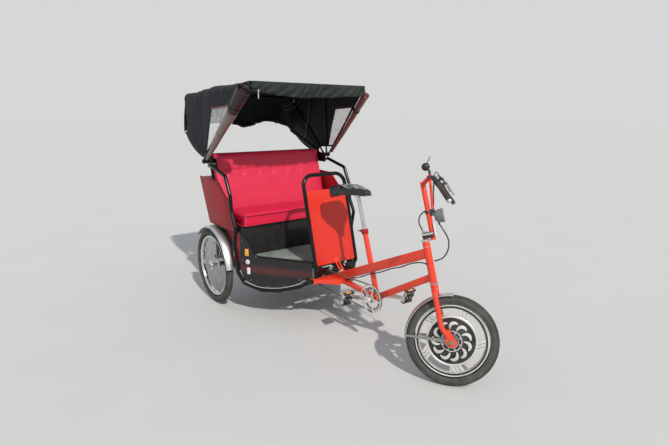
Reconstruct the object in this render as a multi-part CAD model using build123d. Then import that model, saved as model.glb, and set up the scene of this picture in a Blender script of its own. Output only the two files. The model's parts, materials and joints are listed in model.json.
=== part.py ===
from build123d import *
import os
from math import sin, cos, tan, asin, radians, degrees, atan2, hypot, sqrt

# Cycle rickshaw, millimetres. Modelled with X forward from the rear axle, Y to the left and Z up
# from the ground, then moved along X so that the origin lies under the middle of the whole.

# Driving dimensions
REAR_WHEEL_R = 305.0
REAR_TYRE_R = 31.0
TUB_HALF = 508.0
FRONT_WHEEL_R = 265.0
FRONT_TYRE_R = 30.0
HEAD_X = 1830.0
HEAD_Z = 577.0
HEAD_ANGLE = 18.5
HEAD_LENGTH = 242.0
FORK_OFFSET = 40.0
PARKED_STEER = 38.0
WHEEL_ROOM = 53.0
TRACK = 2 * (TUB_HALF + WHEEL_ROOM)
PANEL_T = 8.0
TUBE_R = 14.0
AXLE_R = 10.0
PIVOT_R = 8.0
SPACER = 6.0
SEAT_GAP = 0.3
RUN_FIT = 0.05

# Frame tubes
HEAD_TUBE_R = 22.0
TOP_TUBE_DEPTH = 60.0
TOP_TUBE_WIDTH = 40.0
DOWN_TUBE_WIDTH = 34.0
DOWN_TUBE_DEPTH = 42.0
SEAT_TUBE_R = 18.0
CROSS_W = 40.0
CROSS_H = 30.0
CRANK_X = 1352.0
CRANK_Z = 331.0
CRANK_SHELL_R = 24.0
CRANK_SHELL_HALF = 36.0
SEAT_ANGLE = 18.5
SEAT_TUBE_TOP = 767.0
SADDLE_Z = 985.0
FRAME_TAIL_X = 900.0
TAIL_RISE = 38.0
FRAME_TAIL_Z = REAR_WHEEL_R + TAIL_RISE

POST_R = 13.6
POST_DEPTH = 120.0

# Drive
CHAIN_Y = -48.0
CHAIN_W = 8.0
CHAIN_T = 9.0
CHAIN_GAP = 1.0
CHAIN_CLEAR = 6.0
CHAINRING_R = 86.0
TOOTH_TIP_R = CHAINRING_R - 4
TOOTH_ROOT_R = CHAINRING_R - 11
TEETH = 38
GUARD_DISC_R = 100.0
REAR_SPROCKET_R = 38.0
CRANK_ANGLE = 11.0
CRANK_LENGTH = 165.0
SPIDER_ARMS = 5
ARM_Y = 74.0
PEDAL_PIN = 92.0
PEDAL_PIN_R = 6.0
PEDAL_L = 96.0
PEDAL_W = 84.0
PEDAL_T = 26.0
PEDAL_HANG = 70.0

# Cab: the entrances run diagonally in plan, forward to a narrow bulkhead. Heights go up from the
# frame's tail and from the shelf over the wheels, widths out from the tub between them
FLOOR_Z = FRAME_TAIL_Z + 109.0
SILL_Z = FLOOR_Z + 28.0
TUB_T = 8.0
TUB_REAR_X = 287.0
PANEL_Y = TUB_HALF + 40.0
SHELF_Z = 2 * REAR_WHEEL_R + 42.0
SHELF_T = 6.0
SHELF_FRONT_X = 360.0
WALL_REAR_X = -79.0
WALL_FOOT = FRAME_TAIL_Z + CROSS_H / 2 + SEAT_GAP
REAR_SHELF_X = -251.0
REAR_SHELF_Z = SHELF_Z + 351.0
REAR_FOOT_X = -88.0
ARM_TUBE_Y = PANEL_Y + TUBE_R
ARM_REAR_X = 20.0
ENTRY_REAR_X = 392.0
ENTRY_REAR_Y = ARM_TUBE_Y - 17.0
ENTRY_FRONT_X = 860.0
SKIRT_T = 5.0
SILL_R = 7.0
BULKHEAD_LEAN = 15.0
BULKHEAD_RISE = 640.0
BULKHEAD_FOOT_X = 900.0
BULKHEAD_FOOT_Z = FLOOR_Z - 2.0
BULKHEAD_TOP = BULKHEAD_FOOT_Z + BULKHEAD_RISE
BULKHEAD_HALF = 186.0
BULKHEAD_BEND = 80.0
BULKHEAD_GAP = 94.0
ENTRY_FRONT_Y = BULKHEAD_HALF + 2 * TUBE_R
CUSHION_LOW = SHELF_Z + 28.0
CUSHION_T = 105.0
CUSHION_HALF = TUB_HALF - 18.0
BACKREST_HALF = TUB_HALF + 10.0
BACKREST_LEAN = 16.0
BACKREST_RISE = 535.0
BACKREST_TOP = CUSHION_LOW + BACKREST_RISE
BACKREST_X = -125.0
BACKREST_T = 60.0
ARM_REAR_Z = BACKREST_TOP - 95.0
BRACKET_Y = BACKREST_HALF + 8.0
SEAT_FRONT_X = 400.0

# Hood
HOOD_PIVOT_X = -20.0
HOOD_PIVOT_Z = BACKREST_TOP - 65.0
HOOD_PIVOT_Y = BACKREST_HALF + 85.0
HOOD_TOP_Y = TUB_HALF + 22.0
HOOD_BOW_R = 8.0
BOW_STEP = 22.0
CLOTH_T = 6.0
BOW_BEND = 60.0

# Steering frame: z up the steering axis from the foot of the head tube, x forward, y left
lean = radians(HEAD_ANGLE)
turn = radians(PARKED_STEER)
AXIS_UP = Vector(-sin(lean), 0, cos(lean))
AHEAD = Vector(cos(turn) * cos(lean), sin(turn), cos(turn) * sin(lean))
HEAD_FOOT = Vector(HEAD_X, 0, HEAD_Z)
STEER_PLACE = Plane(origin=HEAD_FOOT, x_dir=AHEAD, z_dir=AXIS_UP).location
WHEEL_TILT = sin(turn) * sin(lean)
FRONT_AXLE_Z = (FRONT_WHEEL_R - FRONT_TYRE_R) * sqrt(1 - WHEEL_TILT ** 2) + FRONT_TYRE_R
AXLE_DROP = (HEAD_Z + FORK_OFFSET * cos(turn) * sin(lean) - FRONT_AXLE_Z) / cos(lean)

parts = {}


def rod(start, end, radius, bore=0.0):
    """Round bar between two points, or a tube where it has a bore."""
    a, b = Vector(*start), Vector(*end)
    place = Plane(origin=a, z_dir=b - a)
    length = (b - a).length
    bar = extrude(place * Circle(radius), amount=length)
    if bore:
        bar -= extrude(place * Circle(bore), amount=length)
    return bar


def bent_rod(points, radius, bend):
    """Round bar along straight runs joined by arcs."""
    path = FilletPolyline(*points, radius=bend)
    section = Plane(origin=path @ 0, z_dir=path % 0) * Circle(radius)
    return sweep(section, path=path)


def beam(start, end, width, depth):
    """Rectangular bar between two points on the middle plane, its width along Y."""
    a, b = Vector(*start), Vector(*end)
    place = Plane(origin=a, x_dir=(0, 1, 0), z_dir=b - a)
    return extrude(place * Rectangle(width, depth), amount=(b - a).length)


def slab(outline, y_low, y_high):
    """Plate of an X-Z outline between two Y values."""
    face = make_face(Polyline(*[(x, 0, z) for x, z in outline], close=True))
    return extrude(Pos(0, y_low, 0) * face, amount=y_high - y_low, dir=(0, 1, 0))


def floor_slab(outline, z_low, z_high):
    """Plate of an X-Y outline between two heights."""
    face = make_face(Polyline(*[(x, y, 0) for x, y in outline], close=True))
    return extrude(Pos(0, 0, z_low) * face, amount=z_high - z_low, dir=(0, 0, 1))


def disc(radius, y_low, y_high, bore=0.0):
    """Disc about the Y axis between two Y values."""
    place = Plane(origin=(0, y_low, 0), z_dir=(0, 1, 0))
    solid = extrude(place * Circle(radius), amount=y_high - y_low)
    if bore:
        solid -= extrude(place * Circle(bore), amount=y_high - y_low)
    return solid


def ring(profile):
    """Ring about the Y axis from (radius, y) points."""
    face = make_face(Polyline(*[(r, y, 0) for r, y in profile], close=True))
    return revolve(face, axis=Axis.Y)


def both_sides(solid):
    return [solid, mirror(solid, about=Plane.XZ)]


def save(name, solid):
    parts[name] = solid


def steered(name, solid):
    parts[name] = STEER_PLACE * solid


# Wheels
def tyre(wheel_r, tyre_r):
    """Tyre with a rounded crown, open towards its rim."""
    inner = wheel_r - 2 * tyre_r
    bead = 0.62 * tyre_r
    wall = 0.22 * tyre_r
    outside = [(inner, -bead), (wheel_r - 1.2 * tyre_r, -tyre_r), (wheel_r - 0.55 * tyre_r, -0.9 * tyre_r),
               (wheel_r - 0.12 * tyre_r, -0.5 * tyre_r), (wheel_r, 0)]
    profile = outside + [(r, -y) for r, y in reversed(outside[:-1])]
    inside = [(inner, bead - wall), (wheel_r - 1.2 * tyre_r, tyre_r - wall),
              (wheel_r - 0.55 * tyre_r - wall, 0), (wheel_r - 1.2 * tyre_r, wall - tyre_r),
              (inner, wall - bead)]
    return ring(profile + inside)


def rim(outer, inner, half):
    """Box-section rim with a bead channel."""
    return ring([(inner, -0.55 * half), (outer - 6, -half), (outer, -half), (outer, 3 - half),
                 (outer - 5, 4 - half), (outer - 5, half - 4), (outer, half - 3), (outer, half),
                 (outer - 6, half), (inner, 0.55 * half)])


REAR_RIM_R = REAR_WHEEL_R - 2 * REAR_TYRE_R - SEAT_GAP
FRONT_RIM_R = FRONT_WHEEL_R - 2 * FRONT_TYRE_R - SEAT_GAP
HUB_R = 22.0
HUB_HALF = 34.0
SPOKES = 18
FLANGE_OUT = 12.0
FLANGE_IN = 6.0
SPOKE_R = 1.6


def rear_wheel():
    """Spoked wheel: rim, hub with flanges and crossed spokes."""
    wheel = rim(REAR_RIM_R, REAR_RIM_R - 16, 0.62 * REAR_TYRE_R - 1)
    hub = disc(HUB_R, -HUB_HALF, HUB_HALF, AXLE_R + 0.05)
    for side in (-1, 1):
        hub += disc(HUB_R + 12, side * (HUB_HALF - 6) - 2, side * (HUB_HALF - 6) + 2, AXLE_R + 0.05)
    wheel += hub
    for i in range(SPOKES):
        side = 1 if i % 2 else -1
        at_rim = radians(360 * i / SPOKES)
        at_hub = at_rim + radians(60 if (i // 2) % 2 else -60)
        start = ((HUB_R + 6) * cos(at_hub), side * (HUB_HALF - 6), (HUB_R + 6) * sin(at_hub))
        reach = REAR_RIM_R - 12
        end = (reach * cos(at_rim), 0, reach * sin(at_rim))
        wheel += rod(start, end, SPOKE_R)
    return wheel


MOTOR_R = 142.0
MOTOR_RING_T = 9.0
MOTOR_RING_HALF = 18.0
MOTOR_HALF = 28.0
COVER_HALF = 22.0
RIB_GROUPS = 5
RIB_START = 60.0
RIB_SWEEP = 40.0
RIB_STEP = 19.0
RIB_T = 8.0
RIB_W = 22.0
FINS = 11
FIN_HALF = 26.0


def polar(radius, angle, y=0.0):
    """Point on a wheel's side, its angle from the front upwards."""
    return Vector(radius * cos(radians(angle)), y, radius * sin(radians(angle)))


def swept_ribs():
    """Three parallel ribs from the motor ring to the rim, swept back from the radius."""
    inner, outer = MOTOR_R - 4, FRONT_RIM_R - 12
    lag = RIB_SWEEP - degrees(asin(inner * sin(radians(RIB_SWEEP)) / outer))
    middle = (polar(inner, 0) + polar(outer, lag)) / 2
    slope = degrees(atan2(polar(outer, lag).Z, polar(outer, lag).X - inner))
    ribs = []
    for step in (-1, 0, 1):
        bar = Pos(*middle) * Rot(0, -slope, 0) * Pos(0, 0, step * RIB_STEP) * Box(2 * outer, RIB_W, RIB_T)
        ribs.append(bar & Pos(*middle) * disc(0.72 * (outer - inner), -RIB_W, RIB_W))
    band = disc(outer, -RIB_W, RIB_W, inner)
    return [rib & band for rib in ribs]


def mag_wheel():
    """Cast front wheel: lipped rim, motor ring and groups of three swept ribs."""
    wheel = rim(FRONT_RIM_R, FRONT_RIM_R - 18, 0.62 * FRONT_TYRE_R - 1)
    wheel += disc(MOTOR_R, -MOTOR_RING_HALF, MOTOR_RING_HALF, MOTOR_R - MOTOR_RING_T)
    ribs = swept_ribs()
    for group in range(RIB_GROUPS):
        for rib in ribs:
            wheel += Rot(0, -(RIB_START + group * 360 / RIB_GROUPS), 0) * rib
    return wheel


def fin():
    """One curved fin of a motor cover: a crescent between two arcs."""
    outer = ThreePointArc(polar(66, -1.2), polar(112, 10), polar(102, 23))
    inner = ThreePointArc(polar(97, 21), polar(98, 12.5), polar(66, 1.2))
    ends = [Line(polar(102, 23), polar(97, 21)), Line(polar(66, 1.2), polar(66, -1.2))]
    face = make_face(Wire([outer, ends[0], inner, ends[1]]))
    return extrude(face, amount=FIN_HALF - COVER_HALF + 3, dir=(0, 1, 0))


def hub_motor():
    """Motor drum with a ring of curved fins on each cover."""
    drum_r = MOTOR_R - MOTOR_RING_T - SEAT_GAP
    motor = ring([(AXLE_R + RUN_FIT, -MOTOR_HALF), (40, -MOTOR_HALF), (44, -COVER_HALF - 2), (58, -COVER_HALF - 2),
                  (61, -COVER_HALF), (drum_r - 8, -COVER_HALF), (drum_r, -MOTOR_RING_HALF),
                  (drum_r, MOTOR_RING_HALF), (drum_r - 8, COVER_HALF), (61, COVER_HALF),
                  (58, COVER_HALF + 2), (44, COVER_HALF + 2), (40, MOTOR_HALF), (AXLE_R + RUN_FIT, MOTOR_HALF)])
    crescent = Pos(0, COVER_HALF - 3, 0) * fin()
    for i in range(FINS):
        left = Rot(0, -i * 360 / FINS, 0) * crescent
        motor += left
        motor += Rot(0, 0, 180) * left
    return motor


def wheel_place(side):
    return Pos(0, side * TRACK / 2, REAR_WHEEL_R)


rear_tyre = tyre(REAR_WHEEL_R, REAR_TYRE_R)
spoked_wheel = rear_wheel()
for name, side in (("left", 1), ("right", -1)):
    save("rear_tyre_" + name, wheel_place(side) * rear_tyre)
    save("rear_wheel_" + name, wheel_place(side) * spoked_wheel)

AXLE_PLACE = Pos(FORK_OFFSET, 0, -AXLE_DROP)
steered("front_tyre", AXLE_PLACE * tyre(FRONT_WHEEL_R, FRONT_TYRE_R))
steered("front_wheel", AXLE_PLACE * mag_wheel())
steered("hub_motor", AXLE_PLACE * hub_motor())

# Fork, mudguard and bars, in the steering frame
FORK_HALF = 58.0
FORK_LEG_R = 13.0
CROWN_TOP = -8.0
CROWN_FOOT = -58.0
STEERER_R = 14.0
STEERER_TOP = HEAD_LENGTH + 62.0
LEG_KNEE_Z = -255.0
DROPOUT_T = 8.0


def fork():
    """Crown sleeve, two bent legs with flat ends, steerer and front axle."""
    body = rod((0, 0, CROWN_FOOT), (0, 0, CROWN_TOP), HEAD_TUBE_R)
    body += rod((0, 0, CROWN_TOP - 1), (0, 0, STEERER_TOP), STEERER_R)
    leg = bent_rod([(0, 18, CROWN_FOOT + 24), (0, FORK_HALF, CROWN_FOOT + 16), (0, FORK_HALF, LEG_KNEE_Z),
                    (FORK_OFFSET - 8, FORK_HALF, -AXLE_DROP + 28)], FORK_LEG_R, 14)
    flat = slab([(FORK_OFFSET - 34, -AXLE_DROP + 46), (FORK_OFFSET - 2, -AXLE_DROP + 58),
                 (FORK_OFFSET + 18, -AXLE_DROP + 12), (FORK_OFFSET + 14, -AXLE_DROP - 14),
                 (FORK_OFFSET - 14, -AXLE_DROP - 16), (FORK_OFFSET - 38, -AXLE_DROP + 14)],
                FORK_HALF - DROPOUT_T / 2, FORK_HALF + DROPOUT_T / 2)
    for half in both_sides(leg + flat):
        body += half
    axle = AXLE_PLACE * disc(AXLE_R, -FORK_HALF - 18, FORK_HALF + 18)
    nuts = AXLE_PLACE * (disc(14, FORK_HALF + 4, FORK_HALF + 13) + disc(14, -FORK_HALF - 13, -FORK_HALF - 4))
    return body + axle + nuts


steered("fork", fork())

GUARD_R = FRONT_WHEEL_R + 9.0
GUARD_W = 74.0
GUARD_T = 2.0


def guard(radius, width, start, stop, drop):
    """Mudguard: an arched strip with turned-down edges, about the Y axis."""
    half = width / 2
    profile = [(radius - drop, -half), (radius, -half + 12), (radius, half - 12), (radius - drop, half),
               (radius - drop + GUARD_T, half + 1), (radius + GUARD_T, half - 11),
               (radius + GUARD_T, 11 - half), (radius - drop + GUARD_T, -half - 1)]
    face = make_face(Polyline(*[(r, y, 0) for r, y in profile], close=True))
    strip = revolve(face, axis=Axis.Y, revolution_arc=stop - start)
    return Rot(0, -stop, 0) * strip


GUARD_START = 75.0
GUARD_STOP = 168.0


def front_mudguard():
    """Arched guard with a flat stay from its rear end to the axle on each side."""
    body = guard(GUARD_R, GUARD_W, GUARD_START, GUARD_STOP, 10)
    foot = radians(GUARD_STOP - 3)
    tip = Vector(cos(foot), 0, sin(foot)) * (GUARD_R - 4)
    side = Vector(-sin(foot), 0, cos(foot)) * 9
    outline = [tip + side, tip - side, -side * 1.4, side * 1.4]
    stay = slab([(v.X, v.Z) for v in outline], GUARD_W / 2 - 1, GUARD_W / 2 + 2)
    stay += disc(14, GUARD_W / 2 - 1, GUARD_W / 2 + 2)
    stay -= disc(AXLE_R + 0.4, 0, 80)
    for half in both_sides(stay):
        body += half
    return AXLE_PLACE * body


steered("front_mudguard", front_mudguard())

RISER_X = 45.0
RISER_R = 15.0
STAY_Y = 14.0
STAY_R = 5.0
LAMP_X = 105.0
LAMP_Z = 378.0
LAMP_R = 42.0
LAMP_T = 50.0
BRACKET_X = 72.0
LAMP_BRACKET_TOP = 425.0
RISER_FOOT = HEAD_LENGTH + 4.0
RISER_TOP = 590.0
BAR_R = 11.0
BAR_X = 92.0
BAR_Z = 606.0
GRIP_START = (125.0, 180.0, 588.0)
GRIP_END = (188.0, 305.0, 440.0)
GRIP_R = 13.5


def riser():
    """Open-footed riser tube with its clamp, the bar's sleeve and two thin stays to the lamp."""
    body = rod((RISER_X, 0, RISER_FOOT), (RISER_X, 0, RISER_TOP), RISER_R)
    body -= rod((RISER_X, 0, RISER_FOOT), (RISER_X, 0, RISER_FOOT + 60), RISER_R - 2)
    body += rod((RISER_X, 0, RISER_TOP - 14), (BAR_X, 0, BAR_Z), 13)
    for side in (-1, 1):
        body += rod((BAR_X - 2, side * STAY_Y, BAR_Z - 4),
                    (BRACKET_X + 2, side * STAY_Y, LAMP_BRACKET_TOP + SEAT_GAP), STAY_R)
    body += rod((BAR_X, -22, BAR_Z), (BAR_X, 22, BAR_Z), BAR_R + 6)
    body -= rod((BAR_X, -30, BAR_Z), (BAR_X, 30, BAR_Z), BAR_R + SEAT_GAP)
    clamp = Pos(RISER_X / 2, 0, HEAD_LENGTH + 36) * Box(RISER_X + 20, 40, 36)
    clamp -= rod((0, 0, 0), (0, 0, 400), STEERER_R + SEAT_GAP)
    return body + clamp


steered("handlebar_riser", riser())


def handlebar():
    half = [(BAR_X, 0, BAR_Z), (BAR_X, 60, BAR_Z), GRIP_START, GRIP_END]
    bar = bent_rod(half, BAR_R, 40)
    return both_sides(bar)[0] + both_sides(bar)[1]


steered("handlebar", handlebar())

# Frame
CRANK = Vector(CRANK_X, 0, CRANK_Z)
FRAME_TAIL = Vector(FRAME_TAIL_X, 0, FRAME_TAIL_Z)
CROSS_X = FRAME_TAIL_X - CROSS_W / 2
CROSS_HALF = BULKHEAD_HALF + TUBE_R
BRACE_Y = 13.0
BRACE_R = 6.0
BRACE_FRONT_X = 995.0
GUSSET_FRONT_X = 1021.0
GUSSET_FRONT_HALF = 63.0
GUSSET_T = 5.0
head_low = HEAD_FOOT + AXIS_UP * 34
head_high = HEAD_FOOT + AXIS_UP * (HEAD_LENGTH - 66)
seat_back = radians(SEAT_ANGLE)
SEAT_UP = Vector(-sin(seat_back), 0, cos(seat_back))
SEAT_TUBE_LENGTH = (SEAT_TUBE_TOP - CRANK_Z) / cos(seat_back)
SEAT_TUBE_END = CRANK + SEAT_UP * SEAT_TUBE_LENGTH


def bulkhead_x(z):
    """Where the leaning bulkhead stands at a height."""
    return BULKHEAD_FOOT_X - (z - BULKHEAD_FOOT_Z) * tan(radians(BULKHEAD_LEAN))


def bulkhead_place(z):
    """Plane of the bulkhead at a height, facing forward."""
    back = radians(BULKHEAD_LEAN)
    return Plane(origin=(bulkhead_x(z), 0, z), x_dir=(0, 1, 0), z_dir=(cos(back), 0, sin(back)))


def top_tube_z(x):
    """Height of the top tube's middle line."""
    slope = (head_high.Z - FRAME_TAIL_Z) / (head_high.X - FRAME_TAIL_X)
    return FRAME_TAIL_Z + (x - FRAME_TAIL_X) * slope


def brace():
    """Thin stays from the top tube back to a plate on the foot of the bulkhead."""
    foot_z = BULKHEAD_FOOT_Z + 24
    seat = Pos(0, 0, PANEL_T / 2 + SEAT_GAP)
    body = extrude(bulkhead_place(foot_z) * seat * Rectangle(2 * BRACE_Y + 26, 32), amount=4)
    for side in (-1, 1):
        body += rod((bulkhead_x(foot_z) + PANEL_T / 2 + BRACE_R, side * BRACE_Y, foot_z),
                    (BRACE_FRONT_X, side * BRACE_Y, top_tube_z(BRACE_FRONT_X)), BRACE_R)
    return body


def main_frame():
    """Head tube, box top tube and down tube, seat tube, tail beam, gusset, brace and cross tube."""
    head_top = HEAD_FOOT + AXIS_UP * HEAD_LENGTH
    body = rod(HEAD_FOOT, head_top, HEAD_TUBE_R)
    body += beam(FRAME_TAIL, head_high, TOP_TUBE_WIDTH, TOP_TUBE_DEPTH)
    body += beam(CRANK, head_low, DOWN_TUBE_WIDTH, DOWN_TUBE_DEPTH)
    body += rod(CRANK, SEAT_TUBE_END, SEAT_TUBE_R)
    body += beam(FRAME_TAIL, CRANK, 36, CROSS_H)
    body += Pos(*CRANK) * disc(CRANK_SHELL_R, -CRANK_SHELL_HALF, CRANK_SHELL_HALF)
    body += Pos(CROSS_X, 0, FRAME_TAIL_Z) * Box(CROSS_W, 2 * CROSS_HALF, CROSS_H)
    top = FRAME_TAIL_Z + CROSS_H / 2
    body += floor_slab([(CROSS_X, -CROSS_HALF + 6), (GUSSET_FRONT_X, -GUSSET_FRONT_HALF),
                        (GUSSET_FRONT_X, GUSSET_FRONT_HALF), (CROSS_X, CROSS_HALF - 6)],
                       top, top + GUSSET_T)
    body += brace()
    body -= Pos(*CRANK) * disc(AXLE_R + RUN_FIT, -60, 60)
    body -= rod(HEAD_FOOT, head_top, STEERER_R + RUN_FIT)
    body -= rod(SEAT_TUBE_END - SEAT_UP * POST_DEPTH, SEAT_TUBE_END, POST_R)
    return body


save("main_frame", main_frame())

RAIL_W = 30.0
RAIL_Y = CROSS_HALF - RAIL_W / 2
RAIL_REAR_X = -110.0
CROSS_MIDDLE_X = 590.0
UPRIGHTS_X = (160.0, CROSS_MIDDLE_X, 820.0)
AXLE_TUBE_R = 20.0


def chassis():
    """Ladder under the cab: two rails, cross tubes and the axle saddles."""
    rail_low = FRAME_TAIL_Z - CROSS_H / 2
    front = CROSS_X - CROSS_W / 2
    middle = (RAIL_REAR_X + front) / 2
    body = None
    for side in (-1, 1):
        rail = Pos(middle, side * RAIL_Y, FRAME_TAIL_Z) * Box(front - RAIL_REAR_X, RAIL_W, CROSS_H)
        saddle = Pos(0, side * RAIL_Y, (rail_low + REAR_WHEEL_R) / 2) * Box(46, RAIL_W, rail_low - REAR_WHEEL_R)
        saddle -= Pos(0, 0, REAR_WHEEL_R) * disc(AXLE_TUBE_R + SEAT_GAP, -TRACK / 2, TRACK / 2)
        rail += saddle
        body = rail if body is None else body + rail
    for x, half in ((RAIL_REAR_X + RAIL_W / 2, TUB_HALF), (TUB_REAR_X, TUB_HALF), (CROSS_MIDDLE_X, RAIL_Y)):
        body += Pos(x, 0, FRAME_TAIL_Z) * Box(RAIL_W, 2 * half, CROSS_H)
    rail_high = FRAME_TAIL_Z + CROSS_H / 2
    rise = FLOOR_Z - TUB_T - SEAT_GAP - rail_high
    for x in UPRIGHTS_X:
        for side in (-1, 1):
            body += Pos(x, side * RAIL_Y, rail_high + rise / 2) * Box(RAIL_W, RAIL_W, rise)
    return body


save("chassis", chassis())


def rear_axle():
    """Axle tube with a drive housing, sprocket and the two stub ends with their nuts."""
    inner = TRACK / 2 - HUB_HALF - SPACER
    body = disc(AXLE_TUBE_R, -inner, inner)
    body += disc(45, -20, 60)
    body += disc(REAR_SPROCKET_R, CHAIN_Y - 2, CHAIN_Y + 2)
    tip = TRACK / 2 + HUB_HALF + SPACER + 12
    body += disc(AXLE_R, -tip, tip)
    for side in (-1, 1):
        low, high = sorted((side * (tip - 10), side * (tip - 1)))
        body += disc(15, low, high)
    return Pos(0, 0, REAR_WHEEL_R) * body


save("rear_axle", rear_axle())


def chain():
    """Fixed loop round the chainring and the rear sprocket."""
    slope = atan2(CRANK_Z - REAR_WHEEL_R, CRANK_X)
    reach = hypot(CRANK_X, CRANK_Z - REAR_WHEEL_R)
    lean_off = (CHAINRING_R - REAR_SPROCKET_R) / reach

    def loop(extra):
        big, small = CHAINRING_R + extra, REAR_SPROCKET_R + extra
        up, across = lean_off, sqrt(1 - lean_off ** 2)
        points = [(-small * up, small * across), (reach - big * up, big * across),
                  (reach + big, 0), (reach - big * up, -big * across),
                  (-small * up, -small * across), (-small, 0)]
        p = [Vector(x, 0, z) for x, z in points]
        edges = [Line(p[0], p[1]), ThreePointArc(p[1], p[2], p[3]), Line(p[3], p[4]),
                 ThreePointArc(p[4], p[5], p[0])]
        return extrude(make_face(Wire(edges)), amount=CHAIN_W, dir=(0, 1, 0))

    band = loop(CHAIN_GAP + CHAIN_T) - loop(CHAIN_GAP)
    return Pos(0, CHAIN_Y - CHAIN_W / 2, REAR_WHEEL_R) * Rot(0, -degrees(slope), 0) * band


save("chain", chain())


# Crankset and pedals
CRANK_TURN = radians(CRANK_ANGLE)
LEFT_PEDAL = CRANK + Vector(CRANK_LENGTH * cos(CRANK_TURN), 0, CRANK_LENGTH * sin(CRANK_TURN))
RIGHT_PEDAL = CRANK - Vector(CRANK_LENGTH * cos(CRANK_TURN), 0, CRANK_LENGTH * sin(CRANK_TURN))


def chainring():
    """Toothed ring under the chain, cut away between its middle and its teeth."""
    step = 360 / TEETH
    outline = [polar(radius, step * (i + share)) for i in range(TEETH)
               for share, radius in zip((0.0, 0.3, 0.5, 0.8), (TOOTH_ROOT_R, TOOTH_TIP_R, TOOTH_TIP_R, TOOTH_ROOT_R))]
    face = make_face(Polyline(*outline, close=True))
    return extrude(Pos(0, CHAIN_Y - 2, 0) * face, amount=4, dir=(0, 1, 0)) - disc(TOOTH_ROOT_R - 14, -TRACK / 2, 0)


def crankset():
    """Axle, chainring with its guard and five-armed spider, and two arms with pedal pins."""
    body = disc(AXLE_R, -ARM_Y, ARM_Y)
    body += chainring()
    chain_side = CHAIN_Y - CHAIN_W / 2
    body += disc(GUARD_DISC_R, chain_side - CHAIN_CLEAR - 3, chain_side - CHAIN_CLEAR, GUARD_DISC_R - 34)
    for i in range(SPIDER_ARMS):
        spoke = Pos(GUARD_DISC_R / 2, chain_side - CHAIN_CLEAR - 3, 0) * Box(GUARD_DISC_R - 20, 6, 12)
        bolt_low, bolt_high = chain_side - CHAIN_CLEAR - 3, CHAIN_Y
        boss = Pos(TOOTH_ROOT_R - 8, 0, 0) * disc(6, bolt_low, bolt_high)
        body += Rot(0, 360 / SPIDER_ARMS * i, 0) * (spoke + boss)
    body += disc(24, -ARM_Y + 4, CHAIN_Y + 2)
    for side, toward in ((1, 1), (-1, -1)):
        arm = Pos(toward * CRANK_LENGTH / 2, side * ARM_Y, 0) * Box(CRANK_LENGTH, 12, 24)
        arm += Pos(0, side * ARM_Y, 0) * disc(17, -7, 7)
        arm += Pos(toward * CRANK_LENGTH, side * ARM_Y, 0) * disc(13, -6, 6)
        pin_low, pin_high = sorted((side * (ARM_Y + 5), side * (ARM_Y + 5 + PEDAL_PIN)))
        arm += Pos(toward * CRANK_LENGTH, 0, 0) * disc(PEDAL_PIN_R, pin_low, pin_high)
        body += arm
    return Pos(*CRANK) * Rot(0, -CRANK_ANGLE, 0) * body


save("crankset", crankset())


def pedal(side):
    """Open cage pedal on its pin."""
    middle = side * (ARM_Y + 12 + PEDAL_W / 2)
    body = Pos(0, middle, 0) * Box(PEDAL_L, PEDAL_W, PEDAL_T)
    for end in (-1, 1):
        body -= Pos(end * PEDAL_L / 4, middle, 0) * Box(PEDAL_L / 2 - 18, PEDAL_W - 18, PEDAL_T + 2)
    body -= disc(PEDAL_PIN_R + RUN_FIT, -TRACK / 2, TRACK / 2)
    return body


save("pedal_left", Pos(*LEFT_PEDAL) * Rot(0, -PEDAL_HANG, 0) * pedal(1))
save("pedal_right", Pos(*RIGHT_PEDAL) * Rot(0, -PEDAL_HANG, 0) * pedal(-1))

# Saddle
COVER_T = 7.0
COVER_DROP = 68.0
post_low = SEAT_TUBE_END - SEAT_UP * (POST_DEPTH - SEAT_GAP)
post_high = SEAT_TUBE_END + SEAT_UP * (SADDLE_Z - SEAT_TUBE_TOP) / cos(seat_back)
save("seatpost", rod(post_low, post_high, POST_R - 0.02))


def seat_clamp():
    low = SEAT_TUBE_END - SEAT_UP * 26
    collar = rod(low, SEAT_TUBE_END + SEAT_UP * 6, SEAT_TUBE_R + 6, SEAT_TUBE_R + 0.02)
    return collar


save("seat_clamp", seat_clamp())


def saddle():
    """Wide saddle in a loose cover: it narrows to its nose and hangs round the springs behind."""
    low, high = post_high.Z + 21 + SEAT_GAP, post_high.Z + 64
    # Columns: how far ahead of the post, half width there
    half = ((-195, 92), (-165, 116), (-95, 122), (-20, 92), (55, 42), (122, 26))
    outline = [(x, y) for x, y in half] + [(x, -y) for x, y in reversed(half)]
    pad = floor_slab(outline, low, high)
    pad = fillet(pad.edges().group_by(Axis.Z)[-1], 16)
    inside = [(x + (COVER_T if x < -150 else 0), y - COVER_T) for x, y in half]
    inside += [(x, -y) for x, y in reversed(inside)]
    skirt = floor_slab(outline, low - COVER_DROP, low + 1) - floor_slab(inside, low - COVER_DROP, low + 1)
    drape = [(-200, low - COVER_DROP), (-120, low - COVER_DROP), (-20, low + 1), (-200, low + 1)]
    skirt &= slab(drape, -TUB_HALF, TUB_HALF)
    return Pos(post_high.X - 10, 0, 0) * (pad + skirt)


save("saddle", saddle())


def saddle_rails():
    top = post_high
    clamp = Pos(top.X, 0, top.Z + 11) * Box(40, 60, 11.4)
    body = clamp
    for side in (-1, 1):
        body += rod((top.X - 100, side * 24, top.Z + 17), (top.X + 90, side * 24, top.Z + 17), 4)
        body += Pos(top.X - 90, side * 60, top.Z + 12) * Cylinder(15, 18)
    body += Pos(top.X - 90, 0, top.Z + 17) * Box(18, 140, 8)
    return body


save("saddle_rails", saddle_rails())


# Cab
def skirt_point(side, along):
    """Point on the entrance line, along it from its rear end, in plan."""
    start = Vector(ENTRY_REAR_X, ENTRY_REAR_Y)
    end = Vector(ENTRY_FRONT_X, ENTRY_FRONT_Y)
    step = (end - start).normalized() * along
    return (start + step).X, side * (start + step).Y


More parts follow.
